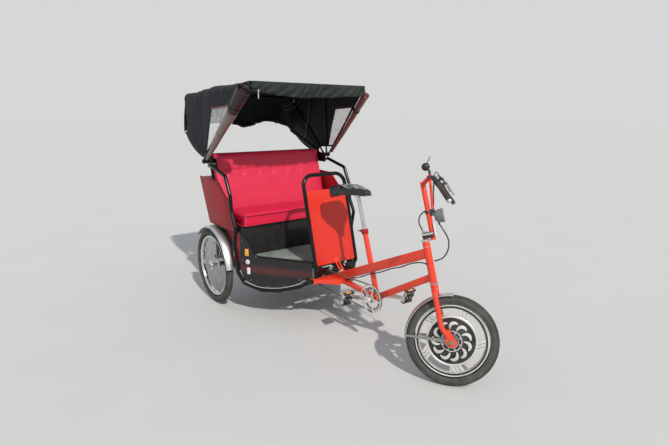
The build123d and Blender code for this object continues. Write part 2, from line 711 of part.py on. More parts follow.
ENTRY_LENGTH = hypot(ENTRY_FRONT_X - ENTRY_REAR_X, ENTRY_REAR_Y - ENTRY_FRONT_Y)
# Columns: distance along the entrance line, height of the tube there
ENTRY_CURVE = tuple((along, FRAME_TAIL_Z + rise) for along, rise in
                    ((0, 3), (50, -75), (190, -115), (330, -103), (510, -47), (ENTRY_LENGTH, 77)))
SKIRT_FRONT = ENTRY_LENGTH + 25
# Columns: distance along the entrance line, height of the skirt's upper edge there
SKIRT_TOP = ((24, SHELF_Z - 2), (74, SHELF_Z - 35), (150, SILL_Z), (SKIRT_FRONT, SILL_Z))
ARM_FRONT_X = 267.0
ARM_FALL = 57.0


def entry_hoop(side):
    """One bent tube: armrest, down beside the entrance, under the skirt and up to the bulkhead."""
    profile = ((ARM_REAR_X, ARM_REAR_Z), (ARM_FRONT_X, ARM_REAR_Z - ARM_FALL),
               (ARM_FRONT_X + 71, SHELF_Z + 278), (ARM_FRONT_X + 85, SHELF_Z + 148),
               (ENTRY_REAR_X + 18, SHELF_Z + 38), (ENTRY_REAR_X - 6, SHELF_Z - 92))
    points = [(x, side * ARM_TUBE_Y, z) for x, z in profile]
    for along, height in ENTRY_CURVE[:-1]:
        x, y = skirt_point(side, along)
        points.append((x, y, height))
    points.append((CROSS_X, side * (CROSS_HALF + 46), FRAME_TAIL_Z))
    points.append((CROSS_X, side * (CROSS_HALF + SEAT_GAP), FRAME_TAIL_Z))
    return bent_rod(points, TUBE_R, 34)


def sill_rail(side):
    """Thin tube along the skirt's upper edge."""
    lift = SILL_R + SEAT_GAP
    rise = atan2(SKIRT_TOP[1][1] - SKIRT_TOP[2][1], SKIRT_TOP[2][0] - SKIRT_TOP[1][0])
    path = [(SKIRT_TOP[1][0] + lift * sin(rise), SKIRT_TOP[1][1] + lift * cos(rise)),
            (SKIRT_TOP[2][0] + lift * tan(rise / 2), SILL_Z + lift), (SKIRT_TOP[3][0], SILL_Z + lift)]
    points = [(*skirt_point(side, along), height) for along, height in path]
    return bent_rod(points, SILL_R, 40)


save("entry_hoops", Compound([make(side) for side in (1, -1) for make in (entry_hoop, sill_rail)]))


def bulkhead_hoop():
    """Leaning hoop on the cross tube, with a corner plate in front of each foot."""
    foot = FRAME_TAIL_Z + CROSS_H / 2 + GUSSET_T + SEAT_GAP
    knee = BULKHEAD_FOOT_Z
    inset = BULKHEAD_HALF - TUBE_R - 4
    half = [(CROSS_X, inset, foot), (CROSS_X, inset, foot + 36), (bulkhead_x(knee), BULKHEAD_HALF, knee),
            (bulkhead_x(BULKHEAD_TOP), BULKHEAD_HALF, BULKHEAD_TOP)]
    points = [(x, -y, z) for x, y, z in half] + half[::-1]
    bends = [30, 30, BULKHEAD_BEND, BULKHEAD_BEND, 30, 30]
    path = FilletPolyline(*points, radius=bends)
    hoop = sweep(Plane(origin=path @ 0, z_dir=path % 0) * Circle(TUBE_R), path=path)
    lean_in = bulkhead_x(knee) - CROSS_X
    rise = BULKHEAD_FOOT_Z - foot
    place = Plane(origin=(CROSS_X, 0, foot), x_dir=(0, 1, 0), z_dir=(knee - foot - 36, 0, -lean_in))
    for side in (-1, 1):
        corner = [(side * inset, 4), (side * (inset - 40), 4), (side * (inset - 104), rise), (side * inset, rise)]
        face = make_face(Polyline(*corner, close=True))
        hoop += extrude(place * face, amount=2, both=True)
    return hoop


save("bulkhead_hoop", bulkhead_hoop())


def bulkhead_panel():
    """Red sheet between the hoop's legs."""
    half = BULKHEAD_HALF - TUBE_R - SEAT_GAP
    low, high = BULKHEAD_FOOT_Z + 9, BULKHEAD_TOP - TUBE_R - BULKHEAD_GAP
    height = (high - low) / cos(radians(BULKHEAD_LEAN))
    sheet = Pos(0, height / 2, 0) * RectangleRounded(2 * half, height, 12)
    return extrude(bulkhead_place(low) * sheet, amount=PANEL_T / 2, both=True)


save("bulkhead_panel", bulkhead_panel())


def plan_outline(inset):
    """Cab floor in plan, from the seat's foot to the bulkhead."""
    side = TUB_HALF - PANEL_T - SEAT_GAP - inset
    front = BULKHEAD_FOOT_X - 28 - inset
    front_y = ENTRY_FRONT_Y - 16 - inset
    rear_x, rear_y = skirt_point(1, 70)
    return [(TUB_REAR_X - 170, -side), (rear_x - inset, -rear_y + 20 + inset), (front, -front_y),
            (front, front_y), (rear_x - inset, rear_y - 20 - inset), (TUB_REAR_X - 170, side)]


def floor_pan():
    return floor_slab(plan_outline(0), FLOOR_Z - TUB_T, FLOOR_Z)


save("floor_pan", floor_pan())


# Columns: back from the skirt's front edge, below the floor
SKIRT_CORNER = ((0, 26), (4, 42), (14, 60), (30, 76), (50, 91))


def skirt(side):
    """Glossy entrance skirt: a flat panel along the entrance line, its foot following the tube."""
    start = Vector(*skirt_point(side, 0), 0)
    end = Vector(*skirt_point(side, ENTRY_LENGTH), 0)
    along = (end - start).normalized()
    place = Plane(origin=start, x_dir=along, z_dir=Vector(along.Y, -along.X, 0))
    up = 1 if place.y_dir.Z > 0 else -1
    outline = list(SKIRT_TOP) + [(SKIRT_FRONT - back, FLOOR_Z - drop) for back, drop in SKIRT_CORNER]
    for i in range(len(ENTRY_CURVE) - 2, 0, -1):
        (x0, z0), (x1, z1), (x2, z2) = ENTRY_CURVE[i - 1:i + 2]
        steep = max(abs(z1 - z0) / (x1 - x0), abs(z2 - z1) / (x2 - x1))
        outline.append((x1, z1 + (TUBE_R + SEAT_GAP) * hypot(1, steep)))
    outline.append((SKIRT_TOP[0][0], FLOOR_Z - 62))
    face = make_face(Polyline(*[(x, up * z) for x, z in outline], close=True))
    return extrude(place * face, amount=SKIRT_T / 2, both=True)


save("skirts", Compound([skirt(side) for side in (1, -1)]))

# Columns: ahead of the rear axle, above the shelf
SIDE_OUTLINE = ((REAR_SHELF_X, 357), (95, 351), (214, 253), (285, 220), (300, 168), (336, 67), (378, 32),
                (SHELF_FRONT_X, 0), (REAR_FOOT_X - 2, 0))


def side_panel(side):
    low, high = sorted((side * PANEL_Y, side * (PANEL_Y - PANEL_T)))
    return slab([(x, SHELF_Z + rise) for x, rise in SIDE_OUTLINE], low, high)


save("side_panels", Compound([side_panel(side) for side in (1, -1)]))


def wheel_wall(side):
    """Black inner wall beside the rear wheel, with a shelf over it out to the side panel."""
    low, high = sorted((side * TUB_HALF, side * (TUB_HALF - PANEL_T)))
    top = SHELF_Z - SEAT_GAP
    front = ENTRY_REAR_X - 20
    wall = slab([(WALL_REAR_X, top), (SHELF_FRONT_X, top), (front, SHELF_Z - 52), (front, WALL_FOOT),
                 (WALL_REAR_X, WALL_FOOT)], low, high)
    y_low, y_high = sorted((side * (TUB_HALF - PANEL_T), side * PANEL_Y))
    wall += slab([(WALL_REAR_X, top), (SHELF_FRONT_X, top), (SHELF_FRONT_X, top - SHELF_T),
                  (WALL_REAR_X, top - SHELF_T)], y_low, y_high)
    return wall


save("wheel_walls", Compound([wheel_wall(side) for side in (1, -1)]))

INNER_HALF = TUB_HALF - PANEL_T - SEAT_GAP
BOX_REAR_X = -60.0
BOX_FRONT_X = SEAT_FRONT_X - 30
BOX_T = 6.0
BATTERY = (300.0, 180.0, 140.0)


def seat_box():
    """Hollow bench under the cushion, open below."""
    height = CUSHION_LOW - FLOOR_Z
    middle = Pos((BOX_REAR_X + BOX_FRONT_X) / 2, 0, FLOOR_Z + height / 2)
    length = BOX_FRONT_X - BOX_REAR_X
    outer = middle * Box(length, 2 * INNER_HALF, height)
    return outer - middle * Pos(0, 0, -BOX_T) * Box(length - 2 * BOX_T, 2 * (INNER_HALF - BOX_T), height)


save("seat_box", Pos(0, 0, SEAT_GAP) * seat_box())
save("battery", Pos(120, 0, FLOOR_Z + SEAT_GAP + BATTERY[2] / 2) * Box(*BATTERY))


def backrest_x(z):
    return BACKREST_X + (BACKREST_TOP - z) * tan(radians(BACKREST_LEAN))


def cushion():
    """Seat cushion from the backrest's foot to the seat's front edge."""
    rear, top = backrest_x(CUSHION_LOW) + BACKREST_T + 4, CUSHION_LOW + CUSHION_T
    block = slab([(rear, CUSHION_LOW), (SEAT_FRONT_X, CUSHION_LOW), (SEAT_FRONT_X, top), (rear, top)],
                 -CUSHION_HALF, CUSHION_HALF)
    return fillet(block.edges().group_by(Axis.Z)[-1], 20)


save("seat_cushion", Pos(0, 0, 2 * SEAT_GAP) * cushion())


def backrest():
    """Leaning backrest, as wide as the tub."""
    low = CUSHION_LOW
    block = slab([(backrest_x(low), low), (backrest_x(low) + BACKREST_T, low),
                  (backrest_x(BACKREST_TOP) + BACKREST_T, BACKREST_TOP), (backrest_x(BACKREST_TOP), BACKREST_TOP)],
                 -BACKREST_HALF, BACKREST_HALF)
    return fillet(block.edges().group_by(Axis.Z)[-1], 14)


save("backrest", Pos(0, 0, 2 * SEAT_GAP) * backrest())


def back_board():
    """Panel behind the backrest, joining the two sides, with the hood's pivot brackets."""
    low, high = CUSHION_LOW, BACKREST_TOP - 20
    board = slab([(backrest_x(low) - 12, low), (backrest_x(low) - SEAT_GAP, low),
                  (backrest_x(high) - SEAT_GAP, high), (backrest_x(high) - 12, high)],
                 -BACKREST_HALF, BACKREST_HALF)
    return board


save("back_board", Pos(0, 0, 2 * SEAT_GAP) * back_board())


def rear_panel():
    """Sloping rear panel and the shelf behind the backrest."""
    x_low, z_low, x_high, z_high = REAR_FOOT_X, SHELF_Z, REAR_SHELF_X, REAR_SHELF_Z
    half = PANEL_Y - PANEL_T - SEAT_GAP
    foot = FRAME_TAIL_Z + CROSS_H / 2 + 8
    inside = x_high + PANEL_T
    body = slab([(x_low, foot), (x_low + PANEL_T, foot), (x_low + PANEL_T, z_low + 6), (x_low, z_low + 6)],
                -INNER_HALF, INNER_HALF)
    body += slab([(x_low, z_low), (x_low + PANEL_T, z_low), (inside, z_high - PANEL_T), (inside, z_high),
                  (x_high, z_high)], -half, half)
    shelf_front = backrest_x(z_high) - 14
    body += slab([(x_high, z_high - PANEL_T), (shelf_front, z_high - PANEL_T), (shelf_front, z_high),
                  (x_high, z_high)], -half, half)
    return body


save("rear_panel", rear_panel())


REAR_GUARD_START = 8.0
REAR_GUARD_STOP = 140.0


def rear_mudguard(side):
    """Arched guard over a rear wheel, hung from the shelf by a bracket."""
    top = REAR_WHEEL_R + 25
    bracket_top = SHELF_Z - SHELF_T - 2 * SEAT_GAP - REAR_WHEEL_R
    strip = guard(top - 1, 78, REAR_GUARD_START, REAR_GUARD_STOP, 12)
    strip += Pos(0, -side * 20, (top + bracket_top) / 2) * Box(40, 8, bracket_top - top)
    return wheel_place(side) * strip


save("rear_mudguards", Compound([rear_mudguard(side) for side in (1, -1)]))

# Hood: bows on one pair of pivots, each one sheet of cloth from the next
# Columns: name, angle above forward, reach from the pivot, half width at the pivot
BOWS = (("front", 45.5, 806.0, HOOD_PIVOT_Y), ("middle", 88.0, 556.0, HOOD_PIVOT_Y - BOW_STEP),
        ("rear", 135.5, 726.0, HOOD_PIVOT_Y - 2 * BOW_STEP), ("base", 160.0, 566.0, HOOD_PIVOT_Y - 3 * BOW_STEP))
FRONT_BOW, MIDDLE_BOW, REAR_BOW, BASE_BOW = BOWS
EYE_R = 18.0
PIVOT = Pos(HOOD_PIVOT_X, 0, HOOD_PIVOT_Z)


def bow(row):
    """Bow with an eye at each foot; the base one is a pair of legs with no crossbar."""
    name, angle, reach, foot_y = row
    leg = [(EYE_R - 2, foot_y, 0), (reach, HOOD_TOP_Y, 0)]
    eye = Pos(0, foot_y, 0) * disc(EYE_R, -6, 6, PIVOT_R + RUN_FIT)
    if row is BASE_BOW:
        body = Compound(both_sides(rod(*leg, HOOD_BOW_R) + eye))
    else:
        body = bent_rod(leg + [(x, -y, z) for x, y, z in reversed(leg)], HOOD_BOW_R, BOW_BEND)
        for half in both_sides(eye):
            body += half
    return PIVOT * Rot(0, -angle, 0) * body


for row in BOWS:
    save("hood_" + row[0] + "_bow", bow(row))


def hood_pivots():
    """Pins through the bows' eyes, each on a bracket from the back board's edge."""
    plate = slab([(HOOD_PIVOT_X - 110, HOOD_PIVOT_Z - 60), (HOOD_PIVOT_X + 62, HOOD_PIVOT_Z - 60),
                  (HOOD_PIVOT_X + 62, HOOD_PIVOT_Z - 10), (HOOD_PIVOT_X + 20, HOOD_PIVOT_Z + 22),
                  (HOOD_PIVOT_X - 110, HOOD_PIVOT_Z + 22)], BACKREST_HALF + SEAT_GAP, BRACKET_Y)
    pin = PIVOT * disc(PIVOT_R, BRACKET_Y - 1, HOOD_PIVOT_Y + 12)
    boss = Pos(ARM_REAR_X + 14, 0, ARM_REAR_Z - 5) * disc(10, BRACKET_Y - 1, ARM_TUBE_Y - TUBE_R - SEAT_GAP)
    left, right = both_sides(plate + pin + boss)
    return Compound([left, right])


save("hood_pivots", hood_pivots())


def bow_tip(row, out=0.0):
    """Middle of a bow's crossbar, seen from the side."""
    angle = radians(row[1])
    reach = row[2] + out
    return HOOD_PIVOT_X + reach * cos(angle), HOOD_PIVOT_Z + reach * sin(angle)


CLOTH_OFF = HOOD_BOW_R + SEAT_GAP
SIDE_OFF = CLOTH_OFF + 2
CLOTH_FOOT = 0.16
CLOTH_TIP = 0.985


def bow_span(first, last):
    """The two bows' crossbar centres and the outward normal of the line between them."""
    (ax, az), (bx, bz) = bow_tip(first), bow_tip(last)
    span = hypot(bx - ax, bz - az)
    return (ax, az), (bx, bz), ((bz - az) / span, (ax - bx) / span)


def roof_cloth(first, last):
    """Roof sheet over two bows' crossbars."""
    a, b, n = bow_span(first, last)
    near, far = CLOTH_OFF, CLOTH_OFF + CLOTH_T
    return slab([(a[0] + n[0] * near, a[1] + n[1] * near), (b[0] + n[0] * near, b[1] + n[1] * near),
                 (b[0] + n[0] * far, b[1] + n[1] * far), (a[0] + n[0] * far, a[1] + n[1] * far)],
                -HOOD_TOP_Y - 14, HOOD_TOP_Y + 14)


def side_cloth(first, last):
    """Side sheet between two bows, outside both, on the left and right."""
    (ax, az), (bx, bz), n = bow_span(first, last)
    top_y, foot_y = HOOD_TOP_Y + SIDE_OFF, first[3] + SIDE_OFF
    corner = [Vector(HOOD_PIVOT_X + (x - HOOD_PIVOT_X) * t, top_y * t + foot_y * (1 - t),
                     HOOD_PIVOT_Z + (z - HOOD_PIVOT_Z) * t)
              for x, z, t in ((ax, az, CLOTH_FOOT), (ax, az, CLOTH_TIP), (bx, bz, CLOTH_TIP), (bx, bz, CLOTH_FOOT))]
    sheet = None
    for three in (corner[:3], [corner[0]] + corner[2:]):
        plate = extrude(make_face(Polyline(*three, close=True)), amount=CLOTH_T, dir=(0, 1, 0))
        sheet = plate if sheet is None else sheet + plate
    return Compound(both_sides(sheet))


save("hood_roof_front", roof_cloth(FRONT_BOW, MIDDLE_BOW))
save("hood_roof_rear", roof_cloth(MIDDLE_BOW, REAR_BOW))
for name, first, last in zip(("front", "middle", "rear"), BOWS, BOWS[1:]):
    save("hood_sides_" + name, side_cloth(first, last))

BACK_HALF = HOOD_TOP_Y + 6
BACK_SLANT = 4.0
HEM_CORNER = 308.0
HEM_MIDDLE = 228.0
CURTAIN_R = 20.0
CURTAIN_END = 62.0


def back_plane(out=0.0):
    """Plane of the sheet behind the rear bow: X to the left, Y down the sheet, Z outwards."""
    x, z = bow_tip(REAR_BOW)
    slant = radians(BACK_SLANT)
    outward = Vector(-cos(slant), 0, sin(slant))
    start = Vector(x, 0, z) + outward * (CLOTH_OFF + out)
    return Plane(origin=start, x_dir=(0, 1, 0), z_dir=outward)


def hood_back():
    """Sheet hanging from the rear bow, its hem arched between two low corners."""
    edges = [Line((-BACK_HALF, 0), (BACK_HALF, 0)), Line((BACK_HALF, 0), (BACK_HALF, HEM_CORNER)),
             ThreePointArc((BACK_HALF, HEM_CORNER), (0, HEM_MIDDLE), (-BACK_HALF, HEM_CORNER)),
             Line((-BACK_HALF, HEM_CORNER), (-BACK_HALF, 0))]
    return extrude(back_plane() * make_face(Wire(edges)), amount=CLOTH_T)


def rear_curtain():
    """Rolled rear curtain along the inside of that hem."""
    end = BACK_HALF - CURTAIN_END
    fall = HEM_MIDDLE + (HEM_CORNER - HEM_MIDDLE) * (end / BACK_HALF) ** 2
    arc = ThreePointArc((-end, fall), (0, HEM_MIDDLE), (end, fall))
    path = back_plane(-CURTAIN_R - SEAT_GAP) * arc
    return sweep(Plane(origin=path @ 0, z_dir=path % 0) * Circle(CURTAIN_R), path=path)


save("hood_back", hood_back())
save("rear_curtain", rear_curtain())

# Steering parts
def headset():
    top = HEAD_FOOT + AXIS_UP * HEAD_LENGTH
    upper = rod(top + AXIS_UP * SEAT_GAP, top + AXIS_UP * 14, HEAD_TUBE_R + 3, STEERER_R + RUN_FIT)
    foot = rod(HEAD_FOOT - AXIS_UP * 7.5, HEAD_FOOT - AXIS_UP * SEAT_GAP, HEAD_TUBE_R + 2, STEERER_R + RUN_FIT)
    return Compound([upper, foot])


save("headset", headset())


def brake_lever(side):
    """Clamp and lever ahead of the grip."""
    start = Vector(GRIP_START[0], side * GRIP_START[1], GRIP_START[2])
    end = Vector(GRIP_END[0], side * GRIP_END[1], GRIP_END[2])
    way = (end - start).normalized()
    clamp = rod(start + way * 30, start + way * 50, BAR_R + 6, BAR_R + SEAT_GAP)
    out = Vector(1, 0, 0.5).normalized() * 30
    knee = start + way * 40 + out
    lever = rod(start + way * 40 + out * 0.5, knee, 6) + rod(knee, knee + way * 100, 5)
    return clamp + lever


steered("brake_levers", Compound([brake_lever(side) for side in (1, -1)]))


BELL_R = 25.0
BELL_Y = 44.0


def bell():
    """Round bell on a stem left of the middle of the bar."""
    middle = Vector(BAR_X - 16, BELL_Y, BAR_Z + 72)
    dome = Pos(*middle) * Sphere(BELL_R)
    stem = rod((BAR_X, BELL_Y, BAR_Z + BAR_R + SEAT_GAP), (BAR_X, BELL_Y, BAR_Z + 66), 5)
    spike = rod(middle, middle + Vector(39, 0, 57), 3)
    return dome + stem + spike


steered("bell", bell())


def headlamp():
    """Round lamp with a deep rim on a short bracket in front of the riser."""
    place = Plane(origin=(LAMP_X - LAMP_T / 2, 0, LAMP_Z), z_dir=(1, 0, 0))
    body = extrude(place * Circle(LAMP_R - 6), amount=LAMP_T - 4)
    body += extrude(place * Pos(0, 0, LAMP_T - 16) * Circle(LAMP_R), amount=16)
    body -= extrude(place * Pos(0, 0, LAMP_T - 5) * Circle(LAMP_R - 4), amount=6)
    body += Pos(BRACKET_X, 0, LAMP_BRACKET_TOP - 25) * Box(24, 40, 50)
    return body


steered("headlamp", headlamp())


def front_reflector():
    """Upright white reflector on the riser's foot, under the lamp."""
    face_x = RISER_X + RISER_R + SEAT_GAP
    place = Plane(origin=(face_x, 0, RISER_FOOT + 58), x_dir=(0, 1, 0), z_dir=(1, 0, 0))
    return extrude(place * RectangleRounded(44, 82, 8), amount=8)


steered("front_reflector", front_reflector())

LAMP_CABLE_R = 4.0
BRAKE_CABLE_R = 2.5
# Routes: points that each cable passes, on its way from its first to its last
BRAKE_ROUTE = ((162.2, 200.5, 577.1), (150, 177, 605), (138, 130, 622), (122, 75, 610), (104, 35, 560),
               (92, 16, 500), (84, 10, 445), (76, 6, LAMP_BRACKET_TOP + 1.4))
LAMP_ROUTE = ((92, 0, LAMP_Z - LAMP_R + 4.5), (104, 0, 308), (124, 0, 262), (131, 0, 218), (116, 0, 170),
              (84, 0, 134), (48, 0, 124), (HEAD_TUBE_R + 5, 0, 124))
LOOP_ROUTE = ((RISER_X - RISER_R - 1.8, 0, 421), (0, 0, 408), (-18, 0, 378), (-20, 0, 344), (-4, 0, 306.2))
# Columns: distance from the rear axle, across (out past the seat tube), drop under the top tube
BUNDLE = ((1745, -20, 13), (1660, -14, 5), (1570, -14, 14), (1480, -15, 6), (1390, -19, 16), (1300, -24, 6),
          (1210, -18, 13), (1120, -14, 6), (1060, -14, 10), (1023, -14, 5.5))


def cord_tube(points, radius):
    """Cable along a route, each arc as large as its two runs allow."""
    stops = [Vector(*point) for point in points]
    bends = []
    for before, here, after in zip(stops, stops[1:], stops[2:]):
        way_in, way_out = here - before, after - here
        half_turn = radians(way_in.get_angle(way_out)) / 2
        bends.append(0.45 * min(way_in.length, way_out.length) / tan(half_turn))
    print("cable", radius, "smallest bend", round(min(bends), 1))
    path = FilletPolyline(*stops, radius=bends)
    return sweep(Plane(origin=path @ 0, z_dir=path % 0) * Circle(radius), path=path)


def front_cables():
    """Brake cables down to the lamp's bracket, the lamp's own cable and the loop behind the riser."""
    cables = both_sides(cord_tube(BRAKE_ROUTE, BRAKE_CABLE_R))
    return Compound(cables + [cord_tube(route, LAMP_CABLE_R) for route in (LAMP_ROUTE, LOOP_ROUTE)])


def frame_cables():
    """Bundle tied along the top tube's underside, from the head tube's side to the gusset."""
    beside = HEAD_FOOT + AXIS_UP * 113
    under = TOP_TUBE_DEPTH / 2 / cos(atan2(head_high.Z - FRAME_TAIL_Z, head_high.X - FRAME_TAIL_X))
    route = [(beside.X + 3, -HEAD_TUBE_R - LAMP_CABLE_R - 0.6, beside.Z)]
    route += [(x, y, top_tube_z(x) - under - drop) for x, y, drop in BUNDLE]
    return cord_tube(route, LAMP_CABLE_R)


steered("front_cables", front_cables())
save("frame_cables", frame_cables())

# Curtains and lights
# Columns: side, roll's radius at its foot and at its top, how far short of the bow's end
ROLLS = ((-1, 14.0, 46.0, 0.0), (1, 11.0, 26.0, 44.0))
ROLL_START = 60.0


def valance():
    """Gathered front edge hanging from the front bow, between the rolled curtains."""
    x, z = bow_tip(FRONT_BOW)
    half = HOOD_TOP_Y - ROLLS[0][2] - 4
    return slab([(x + CLOTH_OFF, z + 12), (x + CLOTH_OFF + CLOTH_T, z + 12),
                 (x + CLOTH_OFF + CLOTH_T, z - 62), (x + CLOTH_OFF, z - 62)], -half, half)


save("hood_valance", valance())


def curtain_roll(side, foot_r, top_r, short):
    """Side curtain rolled to a cone along the front of the front bow's leg."""
    angle = radians(FRONT_BOW[1])
    ahead = Vector(sin(angle), 0, -cos(angle))
    out = Vector(cos(angle), 0, sin(angle))
    pivot = Vector(HOOD_PIVOT_X, 0, HOOD_PIVOT_Z)

    def along(reach, radius):
        y = HOOD_PIVOT_Y + (HOOD_TOP_Y - HOOD_PIVOT_Y) * reach / FRONT_BOW[2]
        return pivot + out * reach + ahead * (HOOD_BOW_R + radius + SEAT_GAP) + Vector(0, side * y, 0)

    low, high = along(ROLL_START, foot_r), along(FRONT_BOW[2] - short, top_r)
    length = (high - low).length
    return Plane(origin=low, z_dir=high - low) * Pos(0, 0, length / 2) * Cone(foot_r, top_r, length)


save("curtain_rolls", Compound([curtain_roll(*row) for row in ROLLS]))

# Columns: along the entrance line, height above the floor, half length, half height (none: round)
REFLECTORS = ((82, 62, 18, 30), (88, -11, 20, None), (94, -80, 15, 29))
REFLECTOR_T = 6.0


def reflectors():
    """Amber, round and upright white side reflectors on the skirts."""
    pieces = []
    for side in (-1, 1):
        start = Vector(*skirt_point(side, 0), 0)
        along = (Vector(*skirt_point(side, ENTRY_LENGTH), 0) - start).normalized()
        out = Vector(-side * along.Y, side * along.X, 0)
        place = Plane(origin=start + out * (SKIRT_T / 2 + SEAT_GAP), x_dir=along, z_dir=out)
        up = 1 if place.y_dir.Z > 0 else -1
        for far, rise, half_l, half_h in REFLECTORS:
            face = RectangleRounded(2 * half_l, 2 * half_h, 4) if half_h else Circle(half_l)
            pieces.append(extrude(place * Pos(far, up * (FLOOR_Z + rise)) * face, amount=REFLECTOR_T))
    return Compound(pieces)


save("side_reflectors", reflectors())


LAMP_LENS_R = 34.0


def tail_lamps():
    """Round tail lamps on the rear panel."""
    pieces = []
    for side in (-1, 1):
        lean_back = atan2(REAR_FOOT_X - REAR_SHELF_X, REAR_SHELF_Z - SHELF_Z)
        middle = ((REAR_FOOT_X + REAR_SHELF_X) / 2, side * (PANEL_Y - 118), (SHELF_Z + REAR_SHELF_Z) / 2)
        place = Plane(origin=middle, x_dir=(0, 1, 0), z_dir=(-cos(lean_back), 0, -sin(lean_back)))
        pieces.append(extrude(place * Circle(LAMP_LENS_R), amount=26))
    return Compound(pieces)


save("tail_lamps", Pos(-SEAT_GAP, 0, 0) * tail_lamps())


def grip():
    """Rubber sleeve over the left end of the bar, closed at its tip."""
    start, end = Vector(*GRIP_START), Vector(*GRIP_END)
    way = (end - start).normalized()
    return rod(start + way * 62, end + way * 3, GRIP_R) - rod(start + way * 50, end, BAR_R + 0.02)


steered("grips", Compound(both_sides(grip())))

os.makedirs("parts", exist_ok=True)
boxes = [solid.bounding_box() for solid in parts.values()]
SHIFT = -(min(b.min.X for b in boxes) + max(b.max.X for b in boxes)) / 2
for name, solid in parts.items():
    export_step(Pos(SHIFT, 0, 0) * solid, "parts/" + name + ".step")
print("origin shift", SHIFT)
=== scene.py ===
"""Dresses the frame of a cycle rickshaw: paint, tyres, wheels, seat, hood, cables and small parts."""
import json
from math import atan2, ceil, cos, hypot, pi, radians, sin, sqrt, tan

import bmesh
import bpy
from mathutils import Matrix, Vector, noise

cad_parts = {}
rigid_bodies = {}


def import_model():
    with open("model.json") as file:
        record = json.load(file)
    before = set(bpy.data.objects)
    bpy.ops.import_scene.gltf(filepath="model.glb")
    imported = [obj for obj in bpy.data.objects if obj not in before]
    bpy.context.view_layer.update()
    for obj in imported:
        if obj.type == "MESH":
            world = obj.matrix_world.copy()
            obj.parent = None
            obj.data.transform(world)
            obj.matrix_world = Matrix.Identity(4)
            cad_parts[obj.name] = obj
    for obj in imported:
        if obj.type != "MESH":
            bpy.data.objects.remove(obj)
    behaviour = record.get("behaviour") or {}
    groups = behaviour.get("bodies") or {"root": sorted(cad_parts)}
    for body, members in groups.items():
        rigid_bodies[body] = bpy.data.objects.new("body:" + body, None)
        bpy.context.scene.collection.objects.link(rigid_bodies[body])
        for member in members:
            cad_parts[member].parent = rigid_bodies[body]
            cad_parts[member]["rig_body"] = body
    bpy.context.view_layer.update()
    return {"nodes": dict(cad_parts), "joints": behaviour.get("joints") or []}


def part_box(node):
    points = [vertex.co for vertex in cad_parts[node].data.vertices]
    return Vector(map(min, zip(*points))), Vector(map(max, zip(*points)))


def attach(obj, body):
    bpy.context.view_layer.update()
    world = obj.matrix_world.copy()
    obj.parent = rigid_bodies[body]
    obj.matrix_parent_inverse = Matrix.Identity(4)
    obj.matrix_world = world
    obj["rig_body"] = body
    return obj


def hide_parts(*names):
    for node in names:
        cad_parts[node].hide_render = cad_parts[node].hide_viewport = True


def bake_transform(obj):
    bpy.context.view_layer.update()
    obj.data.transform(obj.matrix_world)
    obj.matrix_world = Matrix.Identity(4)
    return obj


bl_info = {
    "name": "Cycle Rickshaw",
    "version": (1, 0, 0),
    "blender": (4, 5, 0),
    "location": "View3D > Sidebar > Rickshaw",
    "description": "Dresses the frame of a cycle rickshaw",
    "category": "Add Mesh",
}

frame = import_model()
JOINTS = {joint["name"]: joint for joint in frame["joints"]}

# Places read from the frame, in metres: x is measured from the rear axle
REAR_LOW, REAR_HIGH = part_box("rear_tyre_left")
REAR_X = (REAR_LOW.x + REAR_HIGH.x) / 2
REAR_R = (REAR_HIGH.z - REAR_LOW.z) / 2
HALF_TRACK = (REAR_LOW.y + REAR_HIGH.y) / 2
STEER_UP = Vector(JOINTS["steer"]["axis"])
STEER_LEFT = Vector(JOINTS["front_wheel_spin"]["axis"])
PIVOT = Vector(JOINTS["hood_fold"]["pos_m"])
CRANK = Vector(JOINTS["crank_spin"]["pos_m"])


def basis(x_axis, y_axis, z_axis, origin):
    """Matrix whose columns are three axes and an origin."""
    columns = Matrix((x_axis, y_axis, z_axis)).transposed().to_4x4()
    return Matrix.Translation(origin) @ columns


def steering_frame(joint):
    """Frame at a joint: x forward, y left and z up the head tube."""
    return basis(STEER_LEFT.cross(STEER_UP), STEER_LEFT, STEER_UP, Vector(JOINTS[joint]["pos_m"]))


STEER = steering_frame("steer")
FRONT_AXLE = steering_frame("front_wheel_spin")
SIDES = (-1, 1)


def at(x, y, z):
    """Point from the rear axle's line on the ground, in the row frame."""
    return Vector((REAR_X + x, y, z))


def steer_at(x, y, z):
    """Point in the steering frame: z up the head tube from its foot, x forward, y left."""
    return STEER @ Vector((x, y, z))


# Settings that a user may change
def length(name, default, description):
    return bpy.props.FloatProperty(name=name, default=default, unit="LENGTH", description=description)


def colour(name, default, description):
    return bpy.props.FloatVectorProperty(name=name, default=default, subtype="COLOR", description=description)


class RickshawColours(bpy.types.PropertyGroup):
    """Colours of the main finishes"""
    frame: colour("Frame", (0.82, 0.052, 0.020), "Enamel of the cycle frame and fork")
    # Painted shade: the cab's red is kept darker than the bulkhead's copy of it, for panels that face away from the
    # sun
    cab: colour("Cab", (0.36, 0.010, 0.018), "Enamel of the cab's sheet panels")
    seat: colour("Seat", (0.66, 0.014, 0.060), "Grained vinyl of the seat and backrest")
    hood: colour("Hood", (0.008, 0.010, 0.014), "Coated cloth of the hood")
    mat: colour("Mat", (0.16, 0.19, 0.165), "Rubber mat on the cab floor")
    curtain: colour("Curtain", (0.13, 0.095, 0.085), "Rolled clear vinyl of the side curtains")


class RickshawSizes(bpy.types.PropertyGroup):
    """Sizes of the details"""
    tread_depth: length("Tread depth", 0.0035, "Height of the front tyre's blocks")
    spoke_radius: length("Spoke radius", 0.0013, "Radius of one wheel spoke")
    spokes: bpy.props.IntProperty(name="Spokes", default=36, description="Spokes in a rear wheel")
    motor_fins: bpy.props.IntProperty(name="Motor fins", default=11, description="Curved fins on a motor cover")
    window_height: length("Window height", 0.47, "Height of the clear window in the hood's side")
    rivet_radius: length("Rivet radius", 0.004, "Radius of a dome rivet on the cab")


